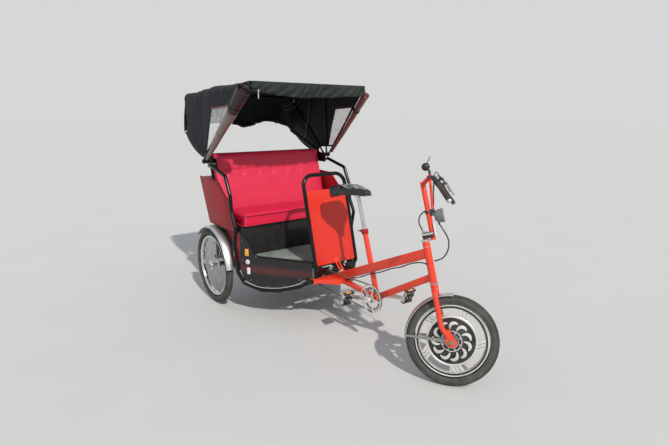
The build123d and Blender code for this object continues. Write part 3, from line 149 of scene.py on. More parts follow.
# Shader maths
class Shade:
    """A socket in a material, with arithmetic that adds Math nodes."""

    def __init__(self, tree, socket):
        self.tree = tree
        self.socket = socket

    def maths(self, operation, *values, clamp=False):
        node = self.tree.nodes.new("ShaderNodeMath")
        node.operation = operation
        node.use_clamp = clamp
        for i, value in enumerate(values):
            if isinstance(value, Shade):
                self.tree.links.new(value.socket, node.inputs[i])
            else:
                node.inputs[i].default_value = value
        return Shade(self.tree, node.outputs[0])

    def __add__(self, other):
        return self.maths("ADD", self, other)

    def __radd__(self, other):
        return self.maths("ADD", other, self)

    def __sub__(self, other):
        return self.maths("SUBTRACT", self, other)

    def __rsub__(self, other):
        return self.maths("SUBTRACT", other, self)

    def __mul__(self, other):
        return self.maths("MULTIPLY", self, other)

    def __rmul__(self, other):
        return self.maths("MULTIPLY", other, self)

    def above(self, edge, soft):
        """0 below edge, 1 above edge + soft."""
        return self.maths("MULTIPLY", self - edge, 1 / soft, clamp=True)

    def sine(self):
        return self.maths("SINE", self)


def feed(tree, socket, value):
    """Links a socket to a Shade or sets its own value; a colour gets its fourth number."""
    if isinstance(value, Shade):
        tree.links.new(value.socket, socket)
    elif socket.type == "RGBA":
        socket.default_value = (*value[:3], 1)
    else:
        socket.default_value = value


class Finish:
    """One material: a Principled surface and the nodes that feed it."""

    def __init__(self, name, **sockets):
        self.material = bpy.data.materials.new(name)
        self.material.use_nodes = True
        self.tree = self.material.node_tree
        self.surface = self.tree.nodes["Principled BSDF"]
        self.heights = []
        coordinates = self.tree.nodes.new("ShaderNodeTexCoord")
        self.place = Shade(self.tree, coordinates.outputs["Object"])
        self.uv = Shade(self.tree, coordinates.outputs["UV"])
        for socket, value in sockets.items():
            self.set(socket.replace("_", " ").title(), value)

    def set(self, socket, value):
        names = {"Ior": "IOR", "Specular Ior Level": "Specular IOR Level"}
        feed(self.tree, self.surface.inputs[names.get(socket, socket)], value)

    def node(self, kind, settings=(), sockets=(), out=0):
        """Adds a node: its settings first, then its sockets by name or number."""
        made = self.tree.nodes.new(kind)
        for name, value in dict(settings).items():
            if name == "stops":
                ramp = made.color_ramp
                while len(ramp.elements) < len(value):
                    ramp.elements.new(0.5)
                for element, (place, shade) in zip(ramp.elements, value):
                    element.position = place
                    element.color = (*shade, 1)
            else:
                setattr(made, name, value)
        for name, value in dict(sockets).items():
            feed(self.tree, made.inputs[name], value)
        return Shade(self.tree, made.outputs[out])

    def noise(self, scale, detail=3.0, rough=0.55, place=None, stretch=None):
        place = place or self.place
        if stretch:
            place = self.node("ShaderNodeMapping", {}, {"Vector": place, "Scale": stretch})
        return self.node("ShaderNodeTexNoise", {},
                         {"Vector": place, "Scale": scale, "Detail": detail, "Roughness": rough})

    def cells(self, scale, out=0, place=None):
        return self.node("ShaderNodeTexVoronoi", {}, {"Vector": place or self.place, "Scale": scale}, out)

    def axis(self, letter, place=None):
        return self.node("ShaderNodeSeparateXYZ", {}, {"Vector": place or self.place}, "XYZ".index(letter))

    def mix(self, factor, first, second):
        """Colour mix of two colours or links."""
        made = self.tree.nodes.new("ShaderNodeMix")
        made.data_type = "RGBA"
        sockets = [s for s in made.inputs if s.enabled]
        for socket, value in zip(sockets, (factor, first, second)):
            feed(self.tree, socket, value)
        return Shade(self.tree, [s for s in made.outputs if s.enabled][0])

    def relief(self, height, distance, strength=1.0):
        """Adds a bump, chained after earlier ones."""
        sockets = {"Height": height, "Distance": distance, "Strength": strength}
        if self.heights:
            sockets["Normal"] = self.heights[-1]
        bump = self.node("ShaderNodeBump", {}, sockets)
        self.heights.append(bump)
        self.set("Normal", bump)


def shade_of(base, factor):
    return tuple(min(1.0, c * factor) for c in base[:3])


DUST = (0.30, 0.25, 0.19)


def enamel(name, base, gloss=0.22, chips=0.70, dust=0.35, coat=0.5, painted_red_reflection=0.0, shine=0.35):
    """Sprayed enamel with faded patches, small chips, road dust low down and orange peel, and an optional painted
    reddish reflection in a low band.
    """
    finish = Finish(name, coat_weight=coat, coat_roughness=0.12, specular_ior_level=shine)
    faded = finish.mix(finish.noise(2.3, 4) * 0.8, shade_of(base, 0.86), shade_of(base, 1.12))
    if painted_red_reflection:
        # Painted reflection: a reddish band about 0.35 to 0.43 m above the ground, mixed into the enamel's colour
        band = finish.axis("Z").above(0.345, 0.035) * (1 - finish.axis("Z").above(0.395, 0.035))
        faded = finish.mix(band * (0.3 + finish.noise(7, 4) * 0.8) * painted_red_reflection, faded, (0.12, 0.016, 0.020))
    chip = finish.noise(95, 2).above(chips, 0.03) * finish.noise(7, 2).above(0.5, 0.1)
    chipped = finish.mix(chip, faded, (0.10, 0.085, 0.075))
    low = 1 - finish.axis("Z").above(0.10, 0.75)
    dusty = finish.noise(16, 5).above(0.38, 0.35) * low * dust
    finish.set("Base Color", finish.mix(dusty, chipped, DUST))
    scratches = finish.noise(60, 3, stretch=(1, 1, 7))
    finish.set("Roughness", gloss + scratches * 0.14 + dusty * 0.5 + chip * 0.3)
    finish.relief(finish.noise(420, 2), 0.0002, 0.25)
    finish.relief(1 - chip, 0.0003, 0.6)
    return finish.material


def metal(name, base, rough=0.2, rust=0.0, grain=180.0):
    """Bare or plated metal with fine brushing, dull patches and optional rust."""
    finish = Finish(name, metallic=1.0)
    patch = finish.noise(9, 4)
    dull = finish.mix(patch.above(0.35, 0.4), base, shade_of(base, 0.72))
    stain = finish.noise(34, 5, 0.7).above(0.62, 0.1) * rust
    finish.set("Base Color", finish.mix(stain, dull, (0.19, 0.085, 0.04)))
    finish.set("Metallic", 1 - stain * 0.8)
    finish.set("Roughness", rough + patch * 0.18 + stain * 0.5)
    finish.relief(finish.noise(grain, 2), 0.00015, 0.3)
    return finish.material


def rubber(name, base, rough=0.72, grey=0.5):
    """Matt rubber, greyed by dust in patches."""
    finish = Finish(name, specular_ior_level=0.35)
    worn = finish.noise(14, 5, 0.65).above(0.22, 0.45) * grey
    finish.set("Base Color", finish.mix(worn, base, (0.15, 0.14, 0.125)))
    finish.set("Roughness", rough + finish.noise(40) * 0.15)
    finish.relief(finish.noise(260, 3), 0.0004, 0.5)
    return finish.material


def plastic(name, base, rough=0.4, grain=0.3):
    """Moulded plastic with a fine grain and scuffs."""
    finish = Finish(name)
    scuff = finish.noise(45, 4).above(0.58, 0.1)
    finish.set("Base Color", finish.mix(scuff * 0.35, base, (0.3, 0.3, 0.3)))
    finish.set("Roughness", rough + scuff * 0.2)
    finish.relief(finish.cells(900), 0.0002, grain)
    return finish.material


def vinyl(name, base, scale=1.0):
    """Grained upholstery vinyl: pebbled cells, creases and a soft shine."""
    finish = Finish(name, coat_weight=0.08, coat_roughness=0.3)
    cells = finish.cells(520 * scale)
    crease = finish.noise(26, 5, 0.6)
    finish.set("Base Color", finish.mix(crease, shade_of(base, 0.80), shade_of(base, 1.15)))
    finish.set("Roughness", 0.36 + crease * 0.2)
    finish.relief(cells, 0.0004, 0.35)
    finish.relief(crease, 0.0016, 0.35)
    return finish.material


def hood_cloth(name, base, faded=(0.017, 0.021, 0.028)):
    """Coated woven cloth: a fine weave, dusty folds and faded patches."""
    finish = Finish(name, specular_ior_level=0.25)
    thread = 2 * pi / 0.0024
    over = (finish.axis("X") * thread).sine() * (finish.axis("Z") * thread).sine()
    across = (finish.axis("Y") * thread).sine() * (finish.axis("Z") * thread + finish.axis("X") * thread).sine()
    dust = finish.noise(5, 6, 0.62).above(0.42, 0.4)
    finish.set("Base Color", finish.mix(dust, base, faded))
    finish.set("Roughness", 0.62 + dust * 0.18)
    finish.relief(over + across, 0.0002, 0.5)
    finish.relief(finish.noise(14, 5, 0.6), 0.010, 0.7)
    return finish.material


def clear_vinyl(name, tint, cover, rough=0.12):
    """Clear soft plastic with wrinkles: cover is how much of it blocks the view."""
    finish = Finish(name, ior=1.45, coat_weight=0.6, coat_roughness=0.08)
    haze = finish.noise(13, 5, 0.7)
    finish.set("Base Color", finish.mix(haze, tint, shade_of(tint, 1.8)))
    finish.set("Roughness", rough + haze * 0.1)
    finish.set("Alpha", haze.maths("MULTIPLY_ADD", haze, 0.5, cover, clamp=True))
    finish.relief(finish.noise(30, 5, 0.6), 0.004, 0.8)
    return finish.material


def lens(name, base):
    """Ribbed lens over a reflector."""
    finish = Finish(name, coat_weight=0.8, coat_roughness=0.05)
    cells = finish.cells(260)
    finish.set("Base Color", finish.mix(cells, shade_of(base, 1.25), shade_of(base, 0.7)))
    finish.set("Roughness", 0.12 + cells * 0.1)
    finish.relief(cells, 0.0006, 0.5)
    return finish.material


def mat_rubber(base):
    """Ribbed floor mat with worn, dusty patches."""
    finish = Finish("mat_rubber", specular_ior_level=0.4)
    ribs = (finish.axis("Y") * (2 * pi / 0.006)).sine()
    wear = finish.noise(8, 6, 0.7).above(0.4, 0.3)
    finish.set("Base Color", finish.mix(wear, base, shade_of(base, 1.7)))
    finish.set("Roughness", 0.6 + wear * 0.2)
    finish.relief(ribs, 0.0006, 0.6)
    return finish.material


class Paints:
    """Every finish, made on first use."""

    def __init__(self, colours):
        self.colours = colours
        self.made = {}
        # After the colour: an enamel's gloss, chips, dust, coat, painted red reflection and shine; a metal's
        # roughness, rust and grain; a rubber's roughness and greying; a plastic's roughness and grain; a clear vinyl's
        # cover and roughness
        self.recipes = {
            "frame": lambda: enamel("frame_enamel", colours.frame, 0.22, 0.71, 0.10, 0.30),
            "cab": lambda: enamel("cab_enamel", colours.cab, 0.42, 0.70, 0.10, 0.08, 0.0, 0.22),
            # Painted sunlight: the bulkhead's enamel is a lighter, more orange copy of the cab's red, for the panel
            # that faces the sun
            "bulkhead": lambda: enamel("sunlit_bulkhead_enamel", (0.66, 0.026, 0.012), 0.3, 0.70, 0.08, 0.2),
            "black": lambda: enamel("black_enamel", (0.004, 0.004, 0.005), 0.18, 0.7, 0.03, 0.06, 0.0, 0.25),
            # The skirt's 0.9 after its coat is the strength of its painted reddish reflection
            "skirt": lambda: enamel("skirt_enamel", (0.006, 0.006, 0.007), 0.18, 0.72, 0.04, 0.4, 0.9),
            "dull": lambda: enamel("dull_black", (0.009, 0.009, 0.010), 0.42, 0.7, 0.12, 0.0),
            "chassis": lambda: enamel("chassis_black", (0.02, 0.02, 0.02), 0.45, 0.66, 0.7, 0.0),
            "chrome": lambda: metal("worn_chrome", (0.78, 0.78, 0.78), 0.1, 0.35),
            "guard": lambda: metal("guard_alloy", (0.66, 0.68, 0.70), 0.34, 0.08),
            "steel": lambda: metal("oiled_steel", (0.34, 0.33, 0.31), 0.34, 0.5),
            "disc": lambda: metal("guard_disc", (0.40, 0.39, 0.37), 0.38, 0.35),
            "grip": lambda: rubber("grip_rubber", (0.032, 0.026, 0.023), 0.6, 0.3),
            "alloy": lambda: metal("cast_alloy", (0.93, 0.92, 0.90), 0.36, 0.04, 90),
            "brass": lambda: metal("dull_brass", (0.42, 0.34, 0.20), 0.4, 0.3),
            "motor": lambda: enamel("motor_black", (0.014, 0.014, 0.016), 0.42, 0.8, 0.2, 0.0),
            "tyre": lambda: rubber("tyre_rubber", (0.030, 0.030, 0.030), 0.75, 0.60),
            "rubber": lambda: rubber("soft_rubber", (0.018, 0.018, 0.019), 0.6, 0.2),
            "cable": lambda: plastic("cable_sheath", (0.014, 0.014, 0.015), 0.35, 0.1),
            "seat": lambda: vinyl("seat_vinyl", colours.seat),
            "saddle": lambda: clear_vinyl("saddle_cover", (0.003, 0.003, 0.004), 1.0, 0.14),
            "hood": lambda: hood_cloth("hood_cloth", colours.hood),
            "valance": lambda: hood_cloth("valance_cloth", (0.015, 0.021, 0.018), (0.034, 0.043, 0.038)),
            "curtain": lambda: clear_vinyl("curtain_vinyl", colours.curtain, 0.72),
            "curtain_dark": lambda: vinyl("dark_curtain", (0.020, 0.006, 0.008)),
            "curtain_brown": lambda: clear_vinyl("brown_curtain", (0.12, 0.038, 0.032), 0.94, 0.25),
            "window": lambda: clear_vinyl("window_vinyl", (0.55, 0.57, 0.57), 0.10),
            "piping": lambda: vinyl("maroon_piping", (0.16, 0.018, 0.022)),
            "strap": lambda: hood_cloth("strap_webbing", (0.05, 0.055, 0.065), (0.12, 0.125, 0.13)),
            "mat": lambda: mat_rubber(colours.mat),
            "plastic": lambda: plastic("black_plastic", (0.018, 0.018, 0.019), 0.42),
            "grey": lambda: plastic("grey_plastic", (0.17, 0.17, 0.18), 0.34),
            "white": lambda: plastic("white_plastic", (0.75, 0.74, 0.70), 0.35),
            "amber": lambda: lens("amber_lens", (0.95, 0.36, 0.02)),
            "red_lens": lambda: lens("red_lens", (0.55, 0.015, 0.015)),
            "clear_lens": lambda: lens("clear_lens", (0.78, 0.79, 0.80)),
            "pink_lens": lambda: lens("pink_lens", (0.72, 0.30, 0.30)),
        }

    def __getitem__(self, name):
        if name not in self.made:
            self.made[name] = self.recipes[name]()
        return self.made[name]


paints = None


# Mesh forms
class Form:
    """Points and faces of a piece while it is being made; each face names its finish by number."""

    def __init__(self, points=(), faces=(), marks=None):
        self.points = [Vector(p) for p in points]
        self.faces = [tuple(f) for f in faces]
        self.marks = list(marks) if marks else [0] * len(self.faces)

    def __add__(self, other):
        shift = len(self.points)
        faces = [tuple(i + shift for i in f) for f in other.faces]
        return Form(self.points + other.points, self.faces + faces, self.marks + other.marks)

    def moved(self, matrix):
        return Form([matrix @ p for p in self.points], self.faces, self.marks)

    def shifted(self, x, y, z):
        return self.moved(Matrix.Translation((x, y, z)))

    def turned(self, degrees, axis):
        return self.moved(Matrix.Rotation(radians(degrees), 4, axis))

    def mirrored(self):
        points = [Vector((p.x, -p.y, p.z)) for p in self.points]
        return Form(points, [tuple(reversed(f)) for f in self.faces], self.marks)

    def both(self):
        return self + self.mirrored()

    def marked(self, mark):
        return Form(self.points, self.faces, [mark] * len(self.faces))


def total(forms):
    result = Form()
    for form in forms:
        result = result + form
    return result


# Edges sharper than this stay sharp, on most pieces and on bent tubes
SHARP_ANGLE = 38.0
TUBE_ANGLE = 50.0


def smooth(mesh, angle=SHARP_ANGLE):
    """Smooth shading with sharp edges past an angle."""
    work = bmesh.new()
    work.from_mesh(mesh)
    limit = radians(angle)
    for face in work.faces:
        face.smooth = True
    for edge in work.edges:
        edge.smooth = len(edge.link_faces) == 2 and edge.calc_face_angle(0.0) < limit
    work.to_mesh(mesh)
    work.free()


def mesh_of(name, form, finishes):
    """Plain mesh of a form with its finishes."""
    mesh = bpy.data.meshes.new(name)
    mesh.from_pydata(form.points, [], form.faces)
    for finish in finishes:
        mesh.materials.append(paints[finish])
    mesh.polygons.foreach_set("material_index", form.marks)
    return mesh


def in_scene(name, data):
    """Object of some data, linked to the scene."""
    made = bpy.data.objects.new(name, data)
    bpy.context.scene.collection.objects.link(made)
    return made


def as_object(name, form, finishes, bevel=0.0, subdivide=0, angle=SHARP_ANGLE, weld=True):
    """Makes the object, with its normals outwards."""
    mesh = mesh_of(name, form, finishes)
    work = bmesh.new()
    work.from_mesh(mesh)
    if weld:
        bmesh.ops.remove_doubles(work, verts=work.verts, dist=1e-6)
    bmesh.ops.recalc_face_normals(work, faces=work.faces)
    if bevel:
        sharp = [e for e in work.edges if len(e.link_faces) == 2 and e.calc_face_angle(0.0) > radians(35)]
        bmesh.ops.bevel(work, geom=sharp, offset=bevel, segments=2, affect="EDGES", profile=0.6, clamp_overlap=True)
    work.to_mesh(mesh)
    work.free()
    made = in_scene(name, mesh)
    if subdivide:
        modifier = made.modifiers.new("round", "SUBSURF")
        modifier.levels = modifier.render_levels = subdivide
    smooth(mesh, angle)
    return made


def settle(made, body, replaces):
    if body:
        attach(made, body)
    if replaces:
        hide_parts(*([replaces] if isinstance(replaces, str) else replaces))
    return made


def piece(name, form, finishes, body, replaces, slot, **shape):
    """Makes a finished piece that rides on a body, or on none."""
    finishes = [finishes] if isinstance(finishes, str) else finishes
    return settle(as_object(name, form, finishes, **shape), body, replaces)


def rounded(points, bend, step=9.0):
    """Path through points with each corner turned by an arc of radius bend."""
    points = [Vector(p) for p in points]
    bends = list(bend) if hasattr(bend, "__len__") else [bend] * (len(points) - 2)
    path = [points[0]]
    for i in range(1, len(points) - 1):
        back = points[i - 1] - points[i]
        ahead = points[i + 1] - points[i]
        turn = pi - back.angle(ahead)
        radius = bends[i - 1]
        if turn < 1e-3 or radius <= 0:
            path.append(points[i])
            continue
        reach = min(radius * tan(turn / 2), back.length * 0.49, ahead.length * 0.49)
        radius = reach / tan(turn / 2)
        centre = points[i] + (back.normalized() + ahead.normalized()).normalized() * hypot(radius, reach)
        start = points[i] + back.normalized() * reach - centre
        axis = start.cross(points[i] + ahead.normalized() * reach - centre).normalized()
        steps = max(2, ceil(turn / radians(step)))
        for k in range(steps + 1):
            path.append(centre + Matrix.Rotation(turn * k / steps, 3, axis) @ start)
    path.append(points[-1])
    return path


def frames_along(path, closed=False):
    """Tangent, side and up at each point of a path, with no twist."""
    count = len(path)
    tangents = []
    for i in range(count):
        before = path[i - 1] if i or closed else path[0]
        after = path[(i + 1) % count] if i < count - 1 or closed else path[-1]
        tangents.append((after - before).normalized())
    side = tangents[0].orthogonal().normalized()
    result = []
    for tangent in tangents:
        side = (side - tangent * side.dot(tangent)).normalized()
        result.append((tangent, side, tangent.cross(side)))
    return result


def between_rows(rows, count, joined=False, wrapped=True, caps=True):
    """Faces between rows of count points: joined closes the rows into a ring, wrapped each row."""
    faces = []
    for i in range(rows if joined else rows - 1):
        j = (i + 1) % rows
        for k in range(count if wrapped else count - 1):
            m = (k + 1) % count
            faces.append((i * count + k, i * count + m, j * count + m, j * count + k))
    if caps and wrapped and not joined:
        faces += [tuple(range(count)), tuple(range((rows - 1) * count, rows * count))]
    return faces


def sweep(path, profile, closed=False, up=None, scale=None):
    """Sweeps a closed profile of (side, up) points along a path; up keeps it level."""
    points = []
    for i, (place, (tangent, side, over)) in enumerate(zip(path, frames_along(path, closed))):
        if up is not None:
            side = tangent.cross(Vector(up)).normalized()
            over = side.cross(tangent)
        grow = scale(i / (len(path) - 1)) if scale else 1.0
        points += [place + side * (a * grow) + over * (b * grow) for a, b in profile]
    return Form(points, between_rows(len(path), len(profile), closed))


def angles(count):
    """Even angles round a turn."""
    return [2 * pi * i / count for i in range(count)]


def ellipse(wide, high, sides=16, x=0.0, y=0.0):
    return [(x + wide * cos(a), y + high * sin(a)) for a in angles(sides)]


def circle(radius, sides=16):
    return ellipse(radius, radius, sides)


def strip(wide, thick):
    """Flat profile about its middle, from its half width and half thickness."""
    return [(-wide, -thick), (wide, -thick), (wide, thick), (-wide, thick)]


def tube(points, radius, bend=0.0, sides=16, closed=False):
    path = rounded(points, bend) if len(points) > 2 else [Vector(p) for p in points]
    return sweep(path, circle(radius, sides), closed)


def evaluated_mesh(made):
    """Plain mesh of an object with its modifiers, which are removed."""
    mesh = bpy.data.meshes.new_from_object(made.evaluated_get(bpy.context.evaluated_depsgraph_get()))
    made.modifiers.clear()
    return mesh


def spline_path(points, detail=10):
    """Points along a smooth spline whose control points are given."""
    curve = bpy.data.curves.new("route", "CURVE")
    curve.dimensions = "3D"
    spline = curve.splines.new("NURBS")
    spline.points.add(len(points) - 1)
    for target, point in zip(spline.points, points):
        target.co = (*point, 1)
    spline.order_u = 3
    spline.use_endpoint_u = True
    spline.resolution_u = detail
    holder = in_scene("route", curve)
    mesh = evaluated_mesh(holder)
    path = [v.co.copy() for v in mesh.vertices]
    bpy.data.objects.remove(holder)
    bpy.data.curves.remove(curve)
    bpy.data.meshes.remove(mesh)
    return [a for a, b in zip(path, path[1:]) if (b - a).length > 1e-5] + path[-1:]


def lathe(profile, sides=64, start=0.0, stop=360.0):
    """Turns a closed profile of (radius, y) points about the Y axis."""
    whole = abs(stop - start) >= 359.9
    rows = sides if whole else max(2, ceil(sides * abs(stop - start) / 360)) + 1
    points = []
    for i in range(rows):
        angle = radians(start + (stop - start) * i / (rows if whole else rows - 1))
        points += [(r * cos(angle), y, r * sin(angle)) for r, y in profile]
    return Form(points, between_rows(rows, len(profile), whole))


def mirrored_profile(half):
    """Profile of (radius, y) points and then their mirror images, in the other order."""
    return half + [(r, -y) for r, y in reversed(half)]


def hoop(inner, outer, low, high, sides):
    """Square ring about the Y axis."""
    return lathe([(inner, low), (outer, low), (outer, high), (inner, high)], sides)


def prism(outline, low, high):
    """Solid of a flat (x, z) outline between two y values."""
    count = len(outline)
    points = [(x, low, z) for x, z in outline] + [(x, high, z) for x, z in outline]
    faces = [tuple(range(count)), tuple(range(count, 2 * count))]
    faces += [(i, (i + 1) % count, (i + 1) % count + count, i + count) for i in range(count)]
    return Form(points, faces)


def flat_prism(outline, low, high):
    """Solid of a flat (x, y) outline between two heights."""
    return prism(outline, low, high).moved(Matrix(((1, 0, 0, 0), (0, 0, 1, 0), (0, 1, 0, 0), (0, 0, 0, 1))))


def block(x, y, z):
    return prism([(-x / 2, -z / 2), (x / 2, -z / 2), (x / 2, z / 2), (-x / 2, z / 2)], -y / 2, y / 2)


def rounded_rectangle(width, height, radius, steps=5):
    """Outline of a rectangle with round corners, about its centre."""
    result = []
    for quarter, (sx, sy) in enumerate(((1, 1), (-1, 1), (-1, -1), (1, -1))):
        for k in range(steps + 1):
            angle = pi / 2 * (quarter + k / steps)
            result.append((sx * (width / 2 - radius) + radius * cos(angle),
                           sy * (height / 2 - radius) + radius * sin(angle)))
    return result


# How close a turned profile comes to its axis
AXIS_GAP = 1e-5


def ball(radius, rings=12, sides=20):
    arc = [pi * i / rings for i in range(rings + 1)]
    return lathe([(max(radius * sin(a), AXIS_GAP), -radius * cos(a)) for a in arc], sides)


def disc(radius, low, high, bore=0.0, sides=48, chamfer=0.0):
    """Disc or washer about the Y axis, with chamfered rims."""
    inner = max(bore, AXIS_GAP)
    c = chamfer
    return lathe([(inner, low), (radius - c, low), (radius, low + c), (radius, high - c), (radius - c, high),
                  (inner, high)], sides)


def hexagon(radius, low, high, bore=0.0):
    return disc(radius, low, high, bore, 6, radius * 0.08)


# Geometry Nodes
class Growth:
    """A Geometry Nodes tree with named inputs, run once on an object and then turned into a plain mesh."""

    def __init__(self, name, **inputs):
        self.tree = bpy.data.node_groups.new(name, "GeometryNodeTree")
        self.tree.interface.new_socket("Geometry", in_out="INPUT", socket_type="NodeSocketGeometry")
        self.kinds = {float: "NodeSocketFloat", int: "NodeSocketInt"}
        self.sockets = {}
        for label, value in inputs.items():
            kind = "NodeSocketMaterial" if isinstance(value, bpy.types.Material) else (
                "NodeSocketObject" if isinstance(value, bpy.types.Object) else self.kinds[type(value)])
            socket = self.tree.interface.new_socket(label, in_out="INPUT", socket_type=kind)
            self.sockets[label] = (socket.identifier, value)
        self.tree.interface.new_socket("Geometry", in_out="OUTPUT", socket_type="NodeSocketGeometry")
        self.source = self.tree.nodes.new("NodeGroupInput")
        self.sink = self.tree.nodes.new("NodeGroupOutput")

    def __getitem__(self, label):
        return self.source.outputs[label]

    def add(self, kind, settings=(), sockets=(), out=0):
        made = self.tree.nodes.new(kind)
        for name, value in dict(settings).items():
            setattr(made, name, value)
        for name, value in dict(sockets).items():
            if isinstance(value, bpy.types.NodeSocket):
                self.tree.links.new(value, made.inputs[name])
            else:
                made.inputs[name].default_value = value
        return made.outputs[out]

    def copies(self, places, thing, turn, item, holder):
        """Puts turned copies at places, makes them real and returns them as a Form."""
        sockets = {"Points": places, "Instance": thing, "Rotation": turn}
        placed = self.add("GeometryNodeInstanceOnPoints", {}, sockets)
        real = self.add("GeometryNodeRealizeInstances", {}, {0: placed})
        finished = self.add("GeometryNodeSetMaterial", {}, {"Geometry": real, "Material": self["Material"]})
        self.tree.links.new(finished, self.sink.inputs[0])
        form = self.form_of(holder)
        discard(item, holder)
        return form

    def form_of(self, holder):
        """Runs the tree on the holder and returns the plain mesh as a Form."""
        modifier = holder.modifiers.new("growth", "NODES")
        modifier.node_group = self.tree
        for identifier, value in self.sockets.values():
            modifier[identifier] = value
        holder.update_tag()
        bpy.context.view_layer.update()
        mesh = evaluated_mesh(holder)
        form = Form([v.co.copy() for v in mesh.vertices], [tuple(p.vertices) for p in mesh.polygons])
        bpy.data.meshes.remove(mesh)
        return form


def discard(*objects):
    for made in objects:
        mesh = made.data
        bpy.data.objects.remove(made)
        if isinstance(mesh, bpy.types.Mesh):
            bpy.data.meshes.remove(mesh)


def ring_of(copy, count, finish, start=0.0):
    """Copies of a Form turned evenly about the Y axis."""
    item, holder = as_object("copy", copy, [finish]), as_object("holder", Form([(0, 0, 0)]), [finish])
    growth = Growth("ring_of_copies", Copy=item, Count=count, Start=start, Material=paints[finish])
    line = growth.add("GeometryNodeMeshLine", {}, {"Count": growth["Count"], "Offset": (0, 0, 0)})
    thing = growth.add("GeometryNodeObjectInfo", {}, {"Object": growth["Copy"]}, "Geometry")
    index = growth.add("GeometryNodeInputIndex")
    share = growth.add("ShaderNodeMath", {"operation": "DIVIDE"}, {0: index, 1: growth["Count"]})
    angle = growth.add("ShaderNodeMath", {"operation": "MULTIPLY_ADD"}, {0: share, 1: 2 * pi, 2: growth["Start"]})
    turn = growth.add("ShaderNodeCombineXYZ", {}, {"Y": angle})
    return growth.copies(line, thing, turn, item, holder)


def spots_of(copy, places, finish, turns=None):
    """Copies of a Form at points; turns gives each copy's rotation in radians."""
    item, holder = as_object("copy", copy, [finish]), as_object("holder", Form([(0, 0, 0)]), [finish])
    mesh = holder.data
    mesh.clear_geometry()
    mesh.from_pydata([tuple(p) for p in places], [], [])
    attribute = mesh.attributes.new("turn", "FLOAT_VECTOR", "POINT")
    for i, value in enumerate(turns or [(0, 0, 0)] * len(places)):
        attribute.data[i].vector = value
    growth = Growth("spots_of_copies", Copy=item, Material=paints[finish])
    thing = growth.add("GeometryNodeObjectInfo", {}, {"Object": growth["Copy"]}, "Geometry")
    turn = growth.add("GeometryNodeInputNamedAttribute", {"data_type": "FLOAT_VECTOR"}, {"Name": "turn"})
    return growth.copies(growth["Geometry"], thing, turn, item, holder)


def facing(direction, place=(0, 0, 0)):
    """Matrix that turns +Y along a direction and puts it at a place."""
    return Matrix.Translation(place) @ Vector(direction).to_track_quat("Y", "Z").to_matrix().to_4x4()


def rivet(radius):
    return lathe([(AXIS_GAP, radius * 0.55), (radius * 0.6, radius * 0.45), (radius, 0), (radius, -radius * 0.2),
                  (AXIS_GAP, -radius * 0.2)], 10)


def bolt(radius, height):
    return hexagon(radius, 0, height) + disc(radius * 1.35, -0.0006, 0.0008, 0, 16)


# Tyres and wheels
def tyre_form(wheel_r, section):
    """Round tyre with a flattened crown, sidewall rings and bead."""
    centre = wheel_r - section
    outside = []
    for i in range(15):
        angle = radians(-128 + 256 * i / 14)
        crown = 1 - 0.05 * max(0, cos(angle)) ** 3
        outside.append((centre + section * crown * cos(angle), section * 0.98 * sin(angle)))
    inside = mirrored_profile([(centre - section * 0.35, section * 0.52), (centre + section * 0.5, section * 0.5)])
    ring = ((-0.10, 0.985), (-0.05, 1.02), (0, 0.99), (-0.05, 0.9))
    ridges = total(lathe([(centre + section * a, side * section * b) for a, b in ring], 96) for side in SIDES)
    return lathe(outside + inside, 96) + ridges


def tread_form(wheel_r, section, rows, count, depth):
    """Rows of blocks round the crown. Columns of rows: angle on the section, block length and width, phase."""
    result = Form()
    crown = section - depth * 0.6
    for angle, long_side, wide, phase in rows:
        knob = block(depth * 2, wide, long_side)
        tops = [0.78 if p.x > 0 else 1 for p in knob.points]
        knob = Form([Vector((p.x, p.y * t, p.z * t)) for p, t in zip(knob.points, tops)], knob.faces)
        tilt = radians(angle)
        knob = knob.turned(angle, "Z").shifted(wheel_r - section + crown * cos(tilt), crown * sin(tilt), 0)
        result = result + ring_of(knob, count, "tyre", phase * 2 * pi / count)
    return result


FRONT_TREAD = ((0, 0.011, 0.008, 0.0), (17, 0.010, 0.007, 0.5), (-17, 0.010, 0.007, 0.5), (34, 0.012, 0.008, 0.0),
               (-34, 0.012, 0.008, 0.0), (52, 0.009, 0.006, 0.5), (-52, 0.009, 0.006, 0.5))
REAR_TREAD = ((8, 0.020, 0.005, 0.0), (-8, 0.020, 0.005, 0.5), (27, 0.018, 0.005, 0.5), (-27, 0.018, 0.005, 0.0))
FRONT_R = 0.265
REAR_WHEELS = (("left", at(0, HALF_TRACK, REAR_R)), ("right", at(0, -HALF_TRACK, REAR_R)))


class RICKSHAW_OT_tyres(bpy.types.Operator):
    """Tyres with their tread blocks"""
    bl_idname = "rickshaw.tyres"
    bl_label = "Tyres"

    def execute(self, context):
        depth = context.scene.rickshaw_sizes.tread_depth
        front = self.tyre(FRONT_R, 0.030, depth, FRONT_TREAD, 84).moved(FRONT_AXLE)
        piece("front_tyre_rubber", front, "tyre", "front_wheel_set", "front_tyre", "tyre_rubber")
        rear = self.tyre(REAR_R, 0.031, depth * 0.45, REAR_TREAD, 72)
        for side, centre in REAR_WHEELS:
            piece("rear_tyre_rubber_" + side, rear.shifted(*centre), "tyre", "wheel_" + side, "rear_tyre_" + side,
                  "tyre_rubber")
        return {"FINISHED"}

    def tyre(self, wheel_r, section, depth, tread, count):
        """Tyre whose blocks stand on a slightly smaller body."""
        body = tyre_form(wheel_r - depth, section - depth * 0.4)
        return body + tread_form(wheel_r - depth * 0.4, section - depth * 0.3, tread, count, depth)


REAR_RIM_R = 0.2427
REAR_RIM_HALF = 0.0182
FLANGE_R = 0.034
HUB_HALF = 0.034
FLANGE_Y = 0.028


def rim_form(outer, depth, half):
    """Box rim with hooked edges and a rounded inner wall."""
    return lathe(mirrored_profile([
        (outer - depth, -half * 0.45), (outer - depth * 0.75, -half * 0.85), (outer - 0.004, -half),
        (outer + 0.002, -half), (outer + 0.003, -half + 0.002), (outer - 0.003, -half + 0.003),
        (outer - 0.006, -half * 0.6)]), 120)


